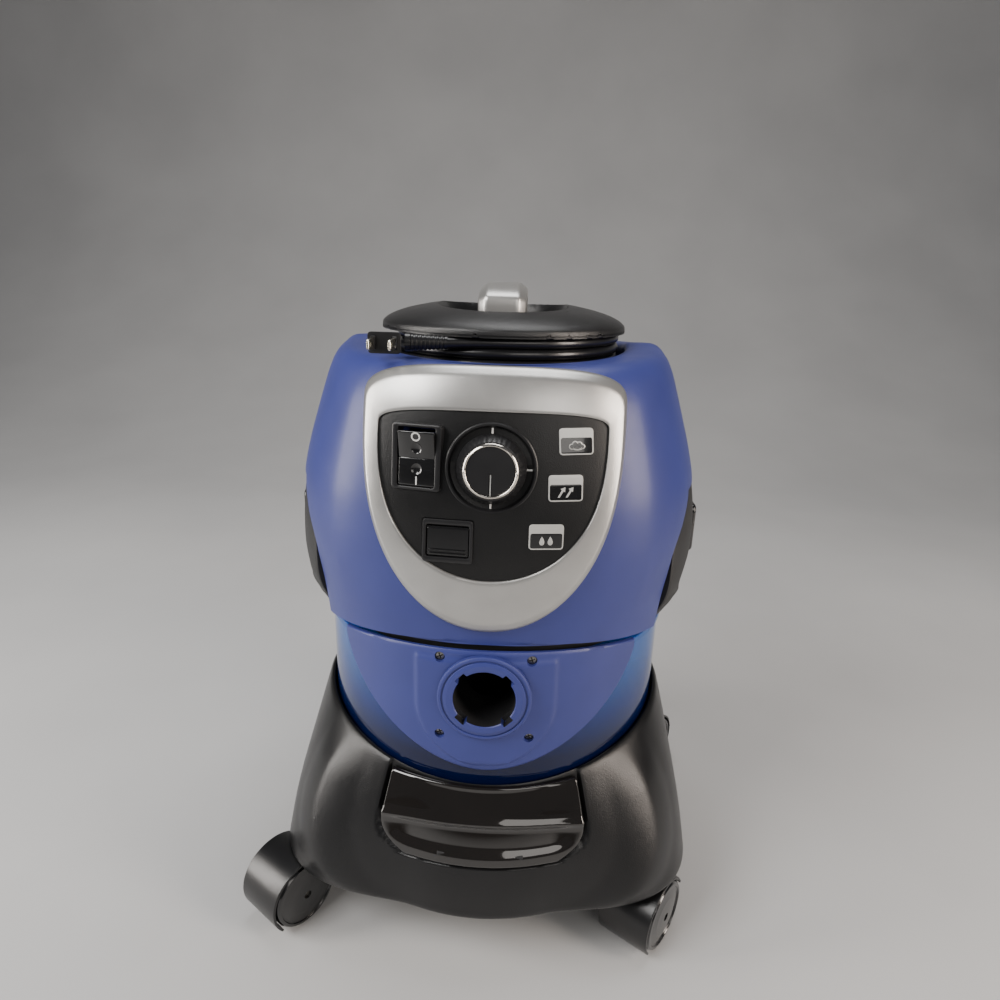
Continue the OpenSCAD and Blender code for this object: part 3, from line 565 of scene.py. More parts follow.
# ---------------------------------------------------------------- head shell
HEAD_ROWS = [
    (243, 131, 130.5), (258, 132.5, 131.5), (275, 135, 132.6), (292, 138.4, 133.5), (308, 141.2, 134),
    (322, 142.2, 133.9), (345, 141, 132.5), (365, 136.6, 129.5), (385, 130.8, 125.4), (405, 124.8, 120),
    (417, 121, 115), (426, 117, 109.8), (431, 112.6, 105), (433.6, 107, 99.5), (434, 100, 94),
]
HEAD_POWER = 2.4
WING_LOW, WING_HIGH, SEAT_TOP = 247.0, 341.0, 343.0
TROUGH_R, TROUGH_Z = 87.5, 412.6


def groove_z(phi):
    return 256 - 13 * min(1, folded(phi + 90) / 57) ** 2


def side_angle(phi):
    return min(folded(phi), folded(phi + 180))


def plan_r(phi, a, b):
    c, s = abs(math.cos(math.radians(phi))), abs(math.sin(math.radians(phi)))
    return ((c / a) ** HEAD_POWER + (s / b) ** HEAD_POWER) ** (-1 / HEAD_POWER)


def wing_seat(z):
    return 131 + 7.5 * math.sin(math.pi / 2 * min(1, max(0, z - 247) / 45))


def edge_angle(z):
    """Where the latch's front edge lies at a height: it leans back towards the top."""
    return 33.5 - 8.0 * smoothstep(300, 345, z)


def crease(phi):
    """A soft fold down each shoulder of the shell."""
    d = abs(side_angle(phi) - 47.0)
    return 0.9 * max(0.0, 1 - d / 9.0)


def head_point(phi, z, inset=0.0, seat=True):
    a, b = table_at(z, HEAD_ROWS, 1), table_at(z, HEAD_ROWS, 2)
    r = plan_r(phi, a, b)
    fade = smoothstep(262, 300, z) * (1 - smoothstep(405, 428, z))
    r += crease(phi) * fade
    if seat and z < SEAT_TOP + 0.7:
        k = smoothstep(edge_angle(z) + 0.75, edge_angle(z), side_angle(phi)) if z > 246 else 1.0
        k *= 1 - smoothstep(SEAT_TOP - 0.6, SEAT_TOP + 0.6, z)
        s = min(r, wing_seat(z))
        r = r + (s - r) * k
    drop = 7 * abs(math.sin(math.radians(phi))) ** 0.7 * (max(0, z - 345) / 89) ** 2
    zz = z - drop + (groove_z(phi) - 243) * max(0, 1 - (z - 243) / 30)
    return polar(r - inset, phi, zz)


def head_columns():
    """Angles round the shell, packed closely where the latch seat's edge runs."""
    quarter = [0, 4, 8, 12, 16, 20, 24, 27, 30, 32, 33, 33.5, 33.75, 34, 34.25, 34.5, 35.5, 37, 39, 41, 43,
               45, 46,
               47, 48, 49, 51, 53, 55, 58, 61, 64, 67, 70, 73, 76, 79, 82, 85, 88, 90]
    ring = []
    for q in range(4):
        part = quarter[:-1] if q % 2 == 0 else [90 - v for v in reversed(quarter)][:-1]
        ring += [q * 90 + v for v in part]
    return ring


def lean(phi, z):
    """Slides a column sideways so that it follows the seat's leaning edge."""
    side = side_angle(phi)
    move = edge_angle(z) - 33.5
    w = side / 33.5 if side < 33.5 else max(0.0, 1 - (side - 34.25) / 12.75) if side > 34.25 else 1.0
    sign = 1 if (phi % 180) < 90 else -1
    return phi + sign * move * w


def make_head():
    ring = head_columns()
    zs = [243 + 1.2 * k for k in range(0, 3)] + [247 + 3.2 * k for k in range(30)]
    zs = [z for z in zs if z < 341] + [341.4, 342.2, 342.6, 343, 343.4, 343.8, 345]
    zs += [348 + 3 * k for k in range(24)] + [419, 421, 423, 425, 427, 429, 430.3, 431.5, 432.4, 433.2,
                                              433.7, 433.95]
    outer = [[head_point(lean(phi, z), z) for phi in ring] for z in zs]
    top_drop = [7 * abs(math.sin(math.radians(phi))) ** 0.7 for phi in ring]
    lip = []
    for r, z in ((100, 434), (95, 433.9), (91, 433.6), (89.2, 433), (88.2, 432), (87.6, 430.6),
                 (TROUGH_R, 428),
                 (TROUGH_R, 420), (TROUGH_R, 415.5), (86.9, 413.8), (85.4, 412.9), (83, TROUGH_Z),
                 (70, TROUGH_Z),
                 (52.4, TROUGH_Z), (52.3, 410)):
        k = 1.0 if z > 425 else max(0.0, (z - 413) / 12)
        lip.append([polar(r, phi, z - d * k) for phi, d in zip(ring, top_drop)])
    inner = [[head_point(phi, z, inset=3, seat=True) for phi in ring] for z in reversed(zs[:-8])]
    inner_top = [[polar(90.5, phi, 409.6) for phi in ring]]
    rows = outer + lip + inner_top + inner
    n = len(ring)
    verts = [p for row in rows for p in row]
    faces = []
    for f in quads(len(rows), n, wrap_rows=True, wrap_cols=True):
        c = [sum(verts[i][k] for i in f) / 4 for k in range(3)]
        if abs(c[0]) < 48 and 322 < c[2] < 392 and abs(c[1]) > 100:
            continue
        faces.append(f)
    return obj_from("head_housing", verts, faces, "blue", "head", "head_shell", "housing_blue", sharp=50,
                    weld=False)


head = make_head()


# ---------------------------------------------------------------- front frame and panel
def front_y(x, z):
    a, b = table_at(z, HEAD_ROWS, 1), table_at(z, HEAD_ROWS, 2)
    return -b * max(0.0, 1 - (abs(x) / a) ** HEAD_POWER) ** (1 / HEAD_POWER)


def spow(v, p):
    return math.copysign(abs(v) ** p, v)


def frame_outer(s):
    c, k = math.cos(s), math.sin(s)
    return (79 * spow(c, 0.66), 405 + 22 * k ** 0.66) if k >= 0 else (79 * c, 405 - 137 * (-k) ** 0.77)


def panel_outline(s, grow=0.0):
    c, k = math.cos(s), math.sin(s)
    if k >= 0:
        return ((68 + grow) * spow(c, 0.66), 392 + (11 + grow) * k ** 0.66)
    return ((68 + grow) * c, 392 - (89 + grow) * (-k) ** 0.77)


def on_head(p, out):
    return (p[0], front_y(p[0], p[1]) - out, p[1])


def make_frame():
    """Bevelled outside, a flat band, and a small step down to the panel."""
    n = 288
    sect = [(-0.03, -0.4), (-0.03, 1.2), (-0.012, 2.3), (0.0, 2.75), (0.05, 3.4), (0.12, 4.3), (0.15, 4.7),
            (0.185, 4.95), (0.25, 5.05), (0.6, 4.9), (0.9, 4.75), (0.955, 4.65), (0.985, 4.3), (1.0, 3.7),
            (1.0, 0.2)]
    verts = []
    for k in range(n):
        s = 2 * math.pi * k / n
        o, i = frame_outer(s), panel_outline(s, 0.2)
        for t, out in sect:
            p = (o[0] + (i[0] - o[0]) * t, o[1] + (i[1] - o[1]) * t)
            verts.append(on_head(p, out))
    faces = quads(n, len(sect), wrap_rows=True, wrap_cols=True)
    return obj_from("front_frame", verts, faces, "silver", "head", "panel_frame", "silver_trim", sharp=32)


FACE_LEAN = 6.0
DIAL_AT, ROCKER_AT, FLAP_AT = (0.5, 371.0), (-42.5, 375.5), (-24.0, 327.0)


def cad_front_y(x, z):
    """The CAD's own face, straight between its rows: where the moving controls sit."""
    rows = HEAD_ROWS
    i = max(k for k in range(len(rows) - 1) if rows[k][0] <= z)
    t = (z - rows[i][0]) / (rows[i + 1][0] - rows[i][0])
    a, b = (rows[i][c] + t * (rows[i + 1][c] - rows[i][c]) for c in (1, 2))
    return -b * max(0.0, 1 - (abs(x) / a) ** HEAD_POWER) ** (1 / HEAD_POWER)


def on_face(p, out):
    """Frame on the front face: +Z outward, +Y up the face."""
    slope = (cad_front_y(p[0] + 1, p[1]) - cad_front_y(p[0] - 1, p[1])) / 2
    return (shift(p[0], cad_front_y(*p) - out, p[1]) @ rot("Z", math.degrees(math.atan(slope)))
            @ rot("X", 90 - FACE_LEAN))


def half_at(z):
    if z > 392:
        return 68 * max(0.0, 1 - ((z - 392) / 11) ** 3.03) ** 0.33
    return 68 * max(0.0, 1 - ((392 - z) / 89) ** 2.6) ** 0.5


def make_panel():
    n_rows, n_cols = 64, 56
    zs = [303.2 + (402.95 - 303.2) * (0.5 - 0.5 * math.cos(math.pi * k / n_rows))
          for k in range(n_rows + 1)]
    cols = [-math.cos(math.pi * (0.5 - 0.5 * math.cos(math.pi * j / n_cols))) * 0.35
            + (2 * j / n_cols - 1) * 0.65
            for j in range(n_cols + 1)]
    outer = [[on_head((u * half_at(z), z), 3.0) for u in cols] for z in zs]
    inner = [[on_head((u * half_at(z), z), 0.3) for u in cols] for z in zs]
    o = obj_from("panel_face", *grid_solid(outer, inner), "panel", "head", "control_panel", "panel_black",
                 sharp=50)
    dial = on_face(DIAL_AT, 0)
    dish = lathe([(0.001, 1.9), (24.2, 1.9), (25.0, 2.3), (25.9, 4.4), (25.9, 20), (0.001, 20)], 96)
    shaft = lathe([(0.001, -14), (4.2, -14), (4.2, 12), (0.001, 12)], 32)
    rocker = on_face(ROCKER_AT, 0)
    flap = on_face(FLAP_AT, 0)
    well = moved(soft_box(23.2, 35.2, 1.2, 30, edge=0.1, z0=-14), rocker)
    port = moved(soft_box(26.2, 19.4, 1.2, 30, edge=0.1, z0=-14), flap)
    around = moved(soft_box(31.5, 27.5, 2.6, 12, edge=0.1, z0=2.2), flap)
    cut(o, moved(dish, dial), moved(shaft, dial), well, port, around)
    dressed(o, "panel", "head", sharp=38)
    return o


def face_ring(outer, inner, place, name, mat, slot, z0, z1, edge=0.6, r_out=2.5, r_in=1.5, node=None,
              low=None):
    """A flat rectangular rim with rounded edges, round an opening."""
    w, h = outer
    w2, h2 = inner
    a = fillet([(-w / 2, -h / 2), (w / 2, -h / 2), (w / 2, h / 2), (-w / 2, h / 2)], r_out, 8)
    b = fillet([(-w2 / 2, -h2 / 2), (w2 / 2, -h2 / 2), (w2 / 2, h2 / 2), (-w2 / 2, h2 / 2)], r_in, 8)
    n = len(a)
    levels = [(a, 0, z0), (a, 0, z1 - edge), (a, edge * 0.3, z1 - edge * 0.3), (a, edge, z1),
              (b, -edge, z1),
              (b, -edge * 0.3, z1 - edge * 0.3), (b, 0, z1 - edge), (b, 0, low if low is not None else z0)]
    verts = []
    for loop, k, z in levels:
        for i, p in enumerate(loop):
            d = (Vector(loop[(i + 1) % n]) - Vector(loop[i - 1])).normalized()
            verts.append((p[0] - d.y * k, p[1] + d.x * k, z))
    faces = quads(len(levels), n, wrap_rows=True, wrap_cols=True)
    return obj_from(name, *moved((verts, faces), place), mat, "head", node, slot, sharp=40)


def make_rocker():
    place = on_face(ROCKER_AT, 0)
    face_ring((30.4, 39), (22.7, 34.7), place, "rocker_bezel", "satin", "panel_gloss", 1.2, 6.2, edge=1.0,
              low=-3)
    key = on_face(ROCKER_AT, 3) @ rot("X", 6.0)
    w = 11.0
    prof = fillet([(16.4, 4.9), (0.35, 2.8), (0, 2.5), (-0.35, 2.8), (-16.4, 4.9), (-15.2, -2), (0, -6.6),
                   (15.2, -2)], [0.9, 0.2, 0, 0.2, 0.9, 1, 1, 1], 5)
    rows = []
    for x, k in ((-w, 0.5), (-w + 0.15, 0.15), (-w + 0.5, 0), (-4, 0), (4, 0), (w - 0.5, 0),
                 (w - 0.15, 0.15), (w, 0.5)):
        rows.append([(x, p[0] * (1 - k / 17), p[1] - k * (1 if p[1] > 0 else -0.4)) for p in prof])
    n = len(prof)
    verts = [p for r in rows for p in r]
    faces = quads(len(rows), n, wrap_cols=True)
    tri = cap_fill(prof)
    faces += [tuple(t) for t in tri] + [tuple((len(rows) - 1) * n + i for i in t) for t in tri]
    o = obj_from("rocker_paddle", *moved((verts, faces), key), "gloss", "rocker", "rocker_key",
                 "panel_gloss", sharp=40)
    bowls = [moved(lathe([(0.001, -1.1), (1.6, -0.95), (2.9, -0.45), (3.7, 0.15), (4.1, 0.8), (4.1, 3),
                          (0.001, 3)], 40),
                   key @ shift(0, s * 6.3, 3.65) @ rot("X", s * 7.4)) for s in (1, -1)]
    cut(o, *bowls)
    dressed(o, "gloss", "rocker", sharp=30)
    tilt_up, tilt_low = rot("X", 7.4), rot("X", -7.4)
    ring = lathe([(1.9, 0), (1.9, 0.12), (2.75, 0.12), (2.75, 0)], 40)
    bar = soft_box(0.9, 5.0, 0.3, 0.12, edge=0.05)
    obj_from("rocker_mark_off", *moved(ring, key @ shift(0, 13.2, 4.55) @ tilt_up), "white", "rocker",
             slot="label_silver")
    obj_from("rocker_mark_on", *moved(bar, key @ shift(0, -13.0, 4.52) @ tilt_low), "white", "rocker",
             slot="label_silver")


def make_dial():
    place = on_face(DIAL_AT, 2.2)
    fixed = on_face(DIAL_AT, 0)
    # fixed rim round the dish, with three position marks
    rim = lathe([(24.0, 2.0), (24.6, 3.4), (25.3, 4.2), (26.3, 4.3), (26.9, 3.8), (27.0, 2.4)], 128)
    obj_from("dial_rim", *moved(rim, fixed), "satin", "head", slot="panel_gloss", sharp=40)
    marks = []
    for a in (90, 0, -90):
        marks.append(moved(soft_box(1.1, 3.4, 0.3, 0.25, edge=0.1),
                           fixed @ rot("Z", a - 90) @ shift(0, 22.1, 2.0)))
    obj_from("dial_position_marks", *joined(*marks), "white", "head", slot="label_silver")
    # knob: fluted skirt, flat top, pointer slot
    prof = [(0.001, -11.5), (3.95, -11.5), (3.95, -0.2), (20.2, -0.2), (20.5, 0.1), (20.45, 1.3),
            (20.0, 2.2),
            (18.6, 5.6), (17.3, 8.0), (16.9, 8.6), (16.3, 8.75), (14.2, 8.75), (14.2, 8.95), (13.9, 9.15),
            (9, 9.35),
            (0.001, 9.45)]
    verts, faces = lathe(prof, 216)
    fluted = []
    for x, y, z in verts:
        r = math.hypot(x, y)
        k = 1 - 0.28 * max(0.0, math.cos(36 * math.atan2(y, x))) / r if 1.5 < z < 8.2 and r > 16.9 else 1.0
        fluted.append((x * k, y * k, z))
    verts = fluted
    o = obj_from("dial_knob", *moved((verts, faces), place), "satin", "dial", "mode_dial", "panel_gloss",
                 sharp=28)
    slot = moved(soft_box(1.9, 13.5, 0.6, 3, edge=0.1), place @ shift(0, -8.0, 8.3))
    cut(o, slot)
    dressed(o, "satin", "dial", sharp=28)
    line = moved(soft_box(0.8, 12.2, 0.3, 0.25, edge=0.05), place @ shift(0, -8.0, 8.28))
    obj_from("dial_pointer_line", *line, "white", "dial", slot="label_silver")
    ring = lathe([(14.3, 8.6), (14.3, 9.2), (14.5, 9.6), (14.9, 9.75), (15.4, 9.5), (16.0, 8.95),
                  (16.2, 8.6)], 128)
    obj_from("dial_trim_ring", *moved(ring, place), "bright", "dial", "dial_ring", "bright_ring", sharp=45)


def make_flap():
    place = on_face(FLAP_AT, 0)
    face_ring((30.6, 26.6), (26.0, 19.6), place, "flap_bezel", "satin", "panel_gloss", 1.0, 4.0, edge=0.8,
              low=-2)
    at = on_face(FLAP_AT, 1.2)
    base = moved(soft_box(25, 17.2, 1.0, 2.0, edge=0.5), at @ shift(0, -0.4, 0.2))
    barrel = moved(lathe([(0.001, -12.7), (1.0, -12.7), (1.0, 12.7), (0.001, 12.7)], 24),
                   at @ shift(0, 8, 0.6) @ rot("Y", 90))
    ribs = []
    for y in (-7.6, -5.4):
        ribs.append(moved(soft_box(22.4, 1.1, 0.5, 1.1, edge=0.45), at @ shift(0, y, 2.0)))
    o = obj_from("flap_cover", *joined(base, barrel, *ribs), "gloss", "flap", "socket_flap", "panel_gloss",
                 sharp=35)
    return o


def flat_shape(loops, height, place):
    """Raised print from flat outlines, each one a thin prism."""
    return [moved(prism(l, [0, height * 0.7, height], [0, 0, 0.03]), place) for l in loops]


def blob(cx, cy, r, n=28, sx=1.0, sy=1.0):
    return [(cx + r * sx * math.cos(2 * math.pi * k / n), cy + r * sy * math.sin(2 * math.pi * k / n))
            for k in range(n)]


def label_place(p):
    slope = (front_y(p[0] + 1, p[1]) - front_y(p[0] - 1, p[1])) / 2
    dz = (front_y(p[0], p[1] + 1) - front_y(p[0], p[1] - 1)) / 2
    return shift(p[0], front_y(*p) - 3.0, p[1]) @ rot("Z", math.degrees(math.atan(slope))) \
        @ rot("X", 90 - math.degrees(math.atan(dz)))


def make_labels():
    plates, prints, darks = [], [], []
    for i, p in enumerate([(49, 387.5), (44, 361), (34, 332)]):
        at = label_place(p)
        plates.append(moved(soft_box(20.6, 15.6, 2.4, 0.75, edge=0.2, z0=-0.45), at))
        darks.append(moved(soft_box(19.0, 9.2, 1.4, 0.42, edge=0.05), at @ shift(0, -2.35, 0.0)))
        z = at @ shift(0, -2.35, 0.42)
        if i == 0:
            cloud = [blob(-3.0, -0.6, 1.7), blob(-0.9, 0.7, 2.0), blob(1.6, 0.5, 1.9), blob(3.6, -0.6, 1.5),
                     blob(0.4, -1.2, 1.6, sx=2.2)]
            prints += flat_shape(cloud, 0.08, z)
            hollow = [blob(-3.0, -0.6, 1.15), blob(-0.9, 0.6, 1.4), blob(1.6, 0.4, 1.3),
                      blob(3.6, -0.6, 0.95),
                      blob(0.4, -1.1, 1.05, sx=2.2)]
            darks += flat_shape(hollow, 0.14, z)
        elif i == 1:
            for x in (-3.2, 1.6):
                arrow = [(x - 1.6, -3.0), (x - 0.5, -3.0), (x + 1.9, 0.7), (x + 2.7, 0.1), (x + 2.9, 3.0),
                         (x + 0.0, 2.0), (x + 0.9, 1.4)]
                prints += flat_shape([arrow], 0.08, z)
        else:
            for x in (-2.6, 2.4):
                drop = [(x + 1.9 * math.sin(t) * abs(math.sin(t / 2)), 0.1 + 2.7 * math.cos(t))
                        for t in (2 * math.pi * k / 36 for k in range(36))]
                prints += flat_shape([drop], 0.08, z)
    obj_from("label_borders", *joined(*plates), "print", "head", "mode_labels", "label_silver", sharp=40)
    obj_from("label_fields", *joined(*darks), "gloss", "head", slot="panel_gloss", sharp=40)
    obj_from("label_pictograms", *joined(*prints), "print", "head", slot="label_silver", sharp=40)


make_frame()
make_panel()
make_rocker()
make_dial()
make_flap()
make_labels()


# ---------------------------------------------------------------- tank, apron and inlet
TANK_R, TANK_WALL, TANK_TOP, TANK_LOW = 129.0, 2.5, 241.0, 85.3
NECK_R, NECK_TOP = 125.3, 249.0
INLET_Z, INLET_R = 222.0, 20.0
SCREW_DROP = -3.2
APRON_R, APRON_T, APRON_HALF, APRON_LOW = 131.6, 3.2, 48.0, 164.0


def make_tank():
    rim, low, w = TANK_R + 2, TANK_LOW, TANK_WALL
    prof = fillet([(0.001, low), (TANK_R - 12, low), (TANK_R - 3, low + 2.5), (TANK_R - 0.8, low + 14),
                   (TANK_R, low + 50),
                   (TANK_R, TANK_TOP - 6), (rim, TANK_TOP - 5), (rim, TANK_TOP), (NECK_R, TANK_TOP),
                   (NECK_R, NECK_TOP),
                   (NECK_R - w, NECK_TOP), (NECK_R - w, TANK_TOP - 1), (TANK_R - w, TANK_TOP - 5),
                   (TANK_R - w, low + 50), (TANK_R - w - 1.2, low + 14), (TANK_R - w - 5, low + 5),
                   (TANK_R - 14, low + w), (0.001, low + w)],
                  [0, 4, 4, 10, 30, 1, 0.8, 0.8, 0.4, 0.6, 0.6, 0.8, 0.8, 30, 8, 4, 4, 0], 5)
    o = obj_from("tank_wall", *lathe(prof, 160), "tank", "tank", "water_tank", "tank_clear", sharp=35)
    port = moved(lathe([(0.001, -14), (23.5, -14), (23.5, 30), (0.001, 30)], 48),
                 shift(0, -TANK_R, INLET_Z) @ rot("X", -90))
    cut(o, port)
    dressed(o, "tank", "tank", sharp=35)


def apron_edge(d):
    t = min(1.0, abs(d) / APRON_HALF)
    return APRON_LOW + (groove_z(-90 + d) - 3.5 - APRON_LOW) * (1 - (1 - t ** 1.8) ** 0.645)


def pad_shape(x, z):
    """1 inside the raised U-shaped pad, falling softly to 0 at its edge."""
    half = 46.0 if z > INLET_Z - 10 else 46.0 * math.sqrt(max(0.0, 1 - ((INLET_Z - 10 - z) / 44.0) ** 2))
    edge = smoothstep(half + 1.0, half - 2.4, abs(x)) if half > 0 else 0.0
    return edge * smoothstep(INLET_Z - 55.0, INLET_Z - 50.5, z) * smoothstep(248.5, 243.5, z)


def make_apron():
    n_u, n_s = 168, 56
    high = lambda d: groove_z(-90 + d) - 3.0
    outer, inner = [], []
    for k in range(n_s + 1):
        s = k / n_s
        ro, ri = [], []
        for j in range(n_u + 1):
            d = (2 * j / n_u - 1) * APRON_HALF
            lo = apron_edge(d)
            z = lo + (high(d) - lo) * s
            tall = high(d) - lo
            roll = 1.1 * (1 - min(1.0, s * tall / 1.4)) ** 2 + (1 - min(1.0, (1 - s) * tall / 1.2)) ** 2
            r = APRON_R + APRON_T - roll
            x = r * math.sin(math.radians(d))
            r += 1.6 * pad_shape(x, z)
            ro.append(polar(r, -90 + d, z))
            ri.append(polar(APRON_R + 0.2, -90 + d, z))
        outer.append(ro)
        inner.append(ri)
    o = obj_from("tank_apron_shell", *grid_solid(outer, inner), "blue", "tank", "tank_apron",
                 "housing_blue", sharp=42)
    front = lambda x, z, y: shift(x, y, z) @ rot("X", 90)
    holes = [moved(lathe([(0.001, -12), (23.4, -12), (23.4, 12), (0.001, 12)], 64),
                   front(0, INLET_Z, -134))]
    for sx in (-1, 1):
        for sz in (-1, 1):
            holes.append(moved(lathe([(0.001, -9), (3.3, -9), (3.3, 2.0), (3.5, 2.6), (4.6, 9), (0.001, 9)],
                                     32),
                               front(29.3 * sx, INLET_Z + SCREW_DROP + 28.2 * sz, -134.2)))
    cut(o, *holes)
    dressed(o, "blue", "tank", sharp=42)
    # socket seats behind the recessed screws
    seats = [moved(lathe([(0.001, -2.4), (3.28, -2.4), (3.28, -1.6), (0.001, -1.6)], 32),
                   front(29.3 * sx, INLET_Z + SCREW_DROP + 28.2 * sz, -131.6)) for sx in (-1, 1)
                   for sz in (-1, 1)]
    obj_from("screw_seats", *joined(*seats), "dark", "tank", slot="dark_plastic")


def make_collar():
    """Round flange with fine steps, a lip, and four bayonet notches in its mouth."""
    prof = fillet([(30.2, 3.6), (30.2, 0.5), (29.2, -0.1), (27.9, -0.1), (27.7, 0.8), (26.7, 0.8),
                   (26.5, -0.3),
                   (24.4, -0.9), (INLET_R + 0.6, -0.9), (INLET_R, -0.3), (INLET_R, 24), (INLET_R + 3, 24),
                   (INLET_R + 3, 3.6)],
                  [0.5, 0.4, 0.4, 0.3, 0.2, 0.2, 0.3, 0.8, 0.5, 0.5, 0.3, 0.3, 0.5], 4)
    place = shift(0, -139.5, INLET_Z) @ rot("X", -90)
    o = obj_from("inlet_flange", *moved(lathe(prof, 144), place), "blue", "tank", "inlet_collar",
                 "housing_blue", sharp=30)
    cuts = []
    for q in range(4):
        a = 45 + 90 * q
        cuts.append(moved(soft_box(5.2, 8, 0.8, 7, edge=0.1), place @ rot("Z", a) @ shift(20.2, 0, -1.2)))
    cut(o, *cuts)
    dressed(o, "blue", "tank", sharp=30)
    throat(o)


def throat(o):
    """The collar's bore wall is unpainted dark plastic."""
    o.data.materials.append(M["dark"])
    for p in o.data.polygons:
        away = Vector((p.center.x, 0, p.center.z - INLET_Z * MM))
        inward = p.normal.dot(away.normalized()) < 0.3
        if away.length < (INLET_R + 3.5) * MM and p.center.y > -138.6 * MM and inward:
            p.material_index = len(o.data.materials) - 1


def make_screws():
    parts = []
    for sx in (-1, 1):
        for sz in (-1, 1):
            place = shift(29.3 * sx, -130.2, INLET_Z + SCREW_DROP + 28.2 * sz) @ rot("X", 90)
            parts.append(moved(lathe([(0.001, -1.8), (3.0, -1.8), (3.1, -0.6), (2.6, 0.15), (1.4, 0.5),
                                      (0.001, 0.6)], 32), place))
    o = obj_from("apron_screw_heads", *joined(*parts), "steel", "tank", "inlet_screws", "steel", sharp=35)
    slots = []
    for sx in (-1, 1):
        for sz in (-1, 1):
            place = shift(29.3 * sx, -130.2, INLET_Z + SCREW_DROP + 28.2 * sz) @ rot("X", 90)
            for a in (20, 110):
                slots.append(moved(soft_box(4.2, 0.85, 0.2, 2, edge=0.05),
                                   place @ rot("Z", a) @ shift(0, 0, -0.45)))
    cut(o, *slots)
    dressed(o, "steel", "tank", sharp=35)


make_tank()
make_apron()
make_collar()
make_screws()


# ---------------------------------------------------------------- dolly
WELL_R, DECK_Z, SKIRT_Z, SWELL = 130.5, 82.0, 57.0, 28.0
PEDAL_LOW, PEDAL_ANGLE = 100.0, 28.0


def ring_z(phi):
    return 150 + 19 * math.cos(math.radians(phi)) ** 2


def corner(phi):
    d = abs(folded(2 * phi) / 2 - 38)
    return 0.5 + 0.5 * math.cos(math.pi * d / 36) if d < 36 else 0.0


def skirt_r(phi, z):
    t = (ring_z(phi) - z) / (ring_z(phi) - SKIRT_Z)
    s = math.sin(math.radians(phi))
    return 134 + (17 + 4 * s * s) * math.sin(math.pi / 2 * min(1,
                                                               1.2 * max(0, t))) + corner(phi) * SWELL * t


def pedal_half(z):
    return PEDAL_ANGLE if z > 122 else PEDAL_ANGLE * (1 - 0.3 * ((122 - z) / 22) ** 2.2)


def facet(phi, z):
    """The moulding's long creases: a flat front face, a flat side face and a sharp line between them."""
    t = (ring_z(phi) - z) / (ring_z(phi) - SKIRT_Z)
    side = abs(folded(phi + 90))
    t = min(1.0, max(0.0, t))
    line = 47.0 + 6.0 * t - 21.0 * t ** 3
    d = abs(side - line) if side < 90 else 99.0
    return 4.6 * max(0.0, 1 - d / 11.0) * min(1.0, t / 0.25) * min(1.0, (1 - t) / 0.12)


def make_dolly():
    ring = []
    a = 0.0
    while a < 359.99:
        ring.append(a)
        near = abs(abs(folded(a + 90)) - (PEDAL_ANGLE + 1))
        a += 0.5 if near < 4 else 1.5
    steps = [0, 0.006, 0.014, 0.03, 0.06, 0.1, 0.15, 0.2, 0.25, 0.3, 0.35,
             0.4] + [0.42 + 0.006 * k for k in range(10)]
    steps += [0.49, 0.52, 0.56, 0.6, 0.65, 0.7, 0.75, 0.8, 0.85, 0.9, 0.94, 0.97, 0.985, 0.995, 1]

    def outer(phi, s):
        z = SKIRT_Z + s * (ring_z(phi) - SKIRT_Z)
        r = skirt_r(phi, z) + facet(phi, z)
        z_cut = PEDAL_LOW - 1.3
        side = folded(phi + 90)
        k = smoothstep(-1.0, 1.0, z - z_cut) * smoothstep(pedal_half(max(z, PEDAL_LOW)) + 1.6,
                                                          pedal_half(max(z, PEDAL_LOW)) + 0.9, side)
        r = r + (max(skirt_r(phi, z) - 4.8, 132.6) - r) * k
        roll = 1.6 * (1 - min(1.0, s / 0.03)) ** 2 + 1.2 * (1 - min(1.0, (1 - s) / 0.03)) ** 2
        return polar(r - roll, phi, z)

    rows = [[outer(phi, s) for phi in ring] for s in steps]
    top = []
    for r, drop in ((WELL_R + 0.6, 0.0), (WELL_R, 0.6)):
        top.append([polar(r, phi, ring_z(phi) - drop) for phi in ring])
    top.append([polar(WELL_R, phi, DECK_Z + 3) for phi in ring])
    top.append([polar(112, phi, DECK_Z + 3) for phi in ring])
    top.append([polar(112, phi, DECK_Z) for phi in ring])
    top.append([polar(WELL_R + 2.5, phi, DECK_Z) for phi in ring])
    top.append([polar(WELL_R + 2.5, phi, 130) for phi in ring])
    for s in (1, 0.8, 0.6, 0.4, 0.2, 0.05, 0):
        z0 = [SKIRT_Z + s * (130 - SKIRT_Z) for phi in ring]
        top.append([polar(skirt_r(phi, z) - 3.2 - (4.2 if folded(phi + 90) < 30 and z > 95 else 0), phi, z)
                    for phi, z in zip(ring, z0)])
    rows = rows + top
    n = len(ring)
    verts = [p for row in rows for p in row]
    o = obj_from("dolly_shell", verts, quads(len(rows), n, wrap_rows=True, wrap_cols=True), "dolly",
                 "dolly", "dolly_body",
                 "dolly_plastic", sharp=46)
    slots = [moved(([(-4, -160, 99.5), (4, -160, 99.5), (4, -136, 99.5), (-4, -136, 99.5),
                     (-4, -160, 110.5),
                     (4, -160, 110.5), (4, -136, 110.5), (-4, -136, 110.5)],
                    [(0, 1, 2, 3), (4, 5, 6, 7), (0, 1, 5, 4), (1, 2, 6, 5), (2, 3, 7, 6), (3, 0, 4, 7)]),
                   shift(s * 26, 0, 0)) for s in (-1, 1)]
    cut(o, *slots)
    dressed(o, "dolly", "dolly", sharp=46)


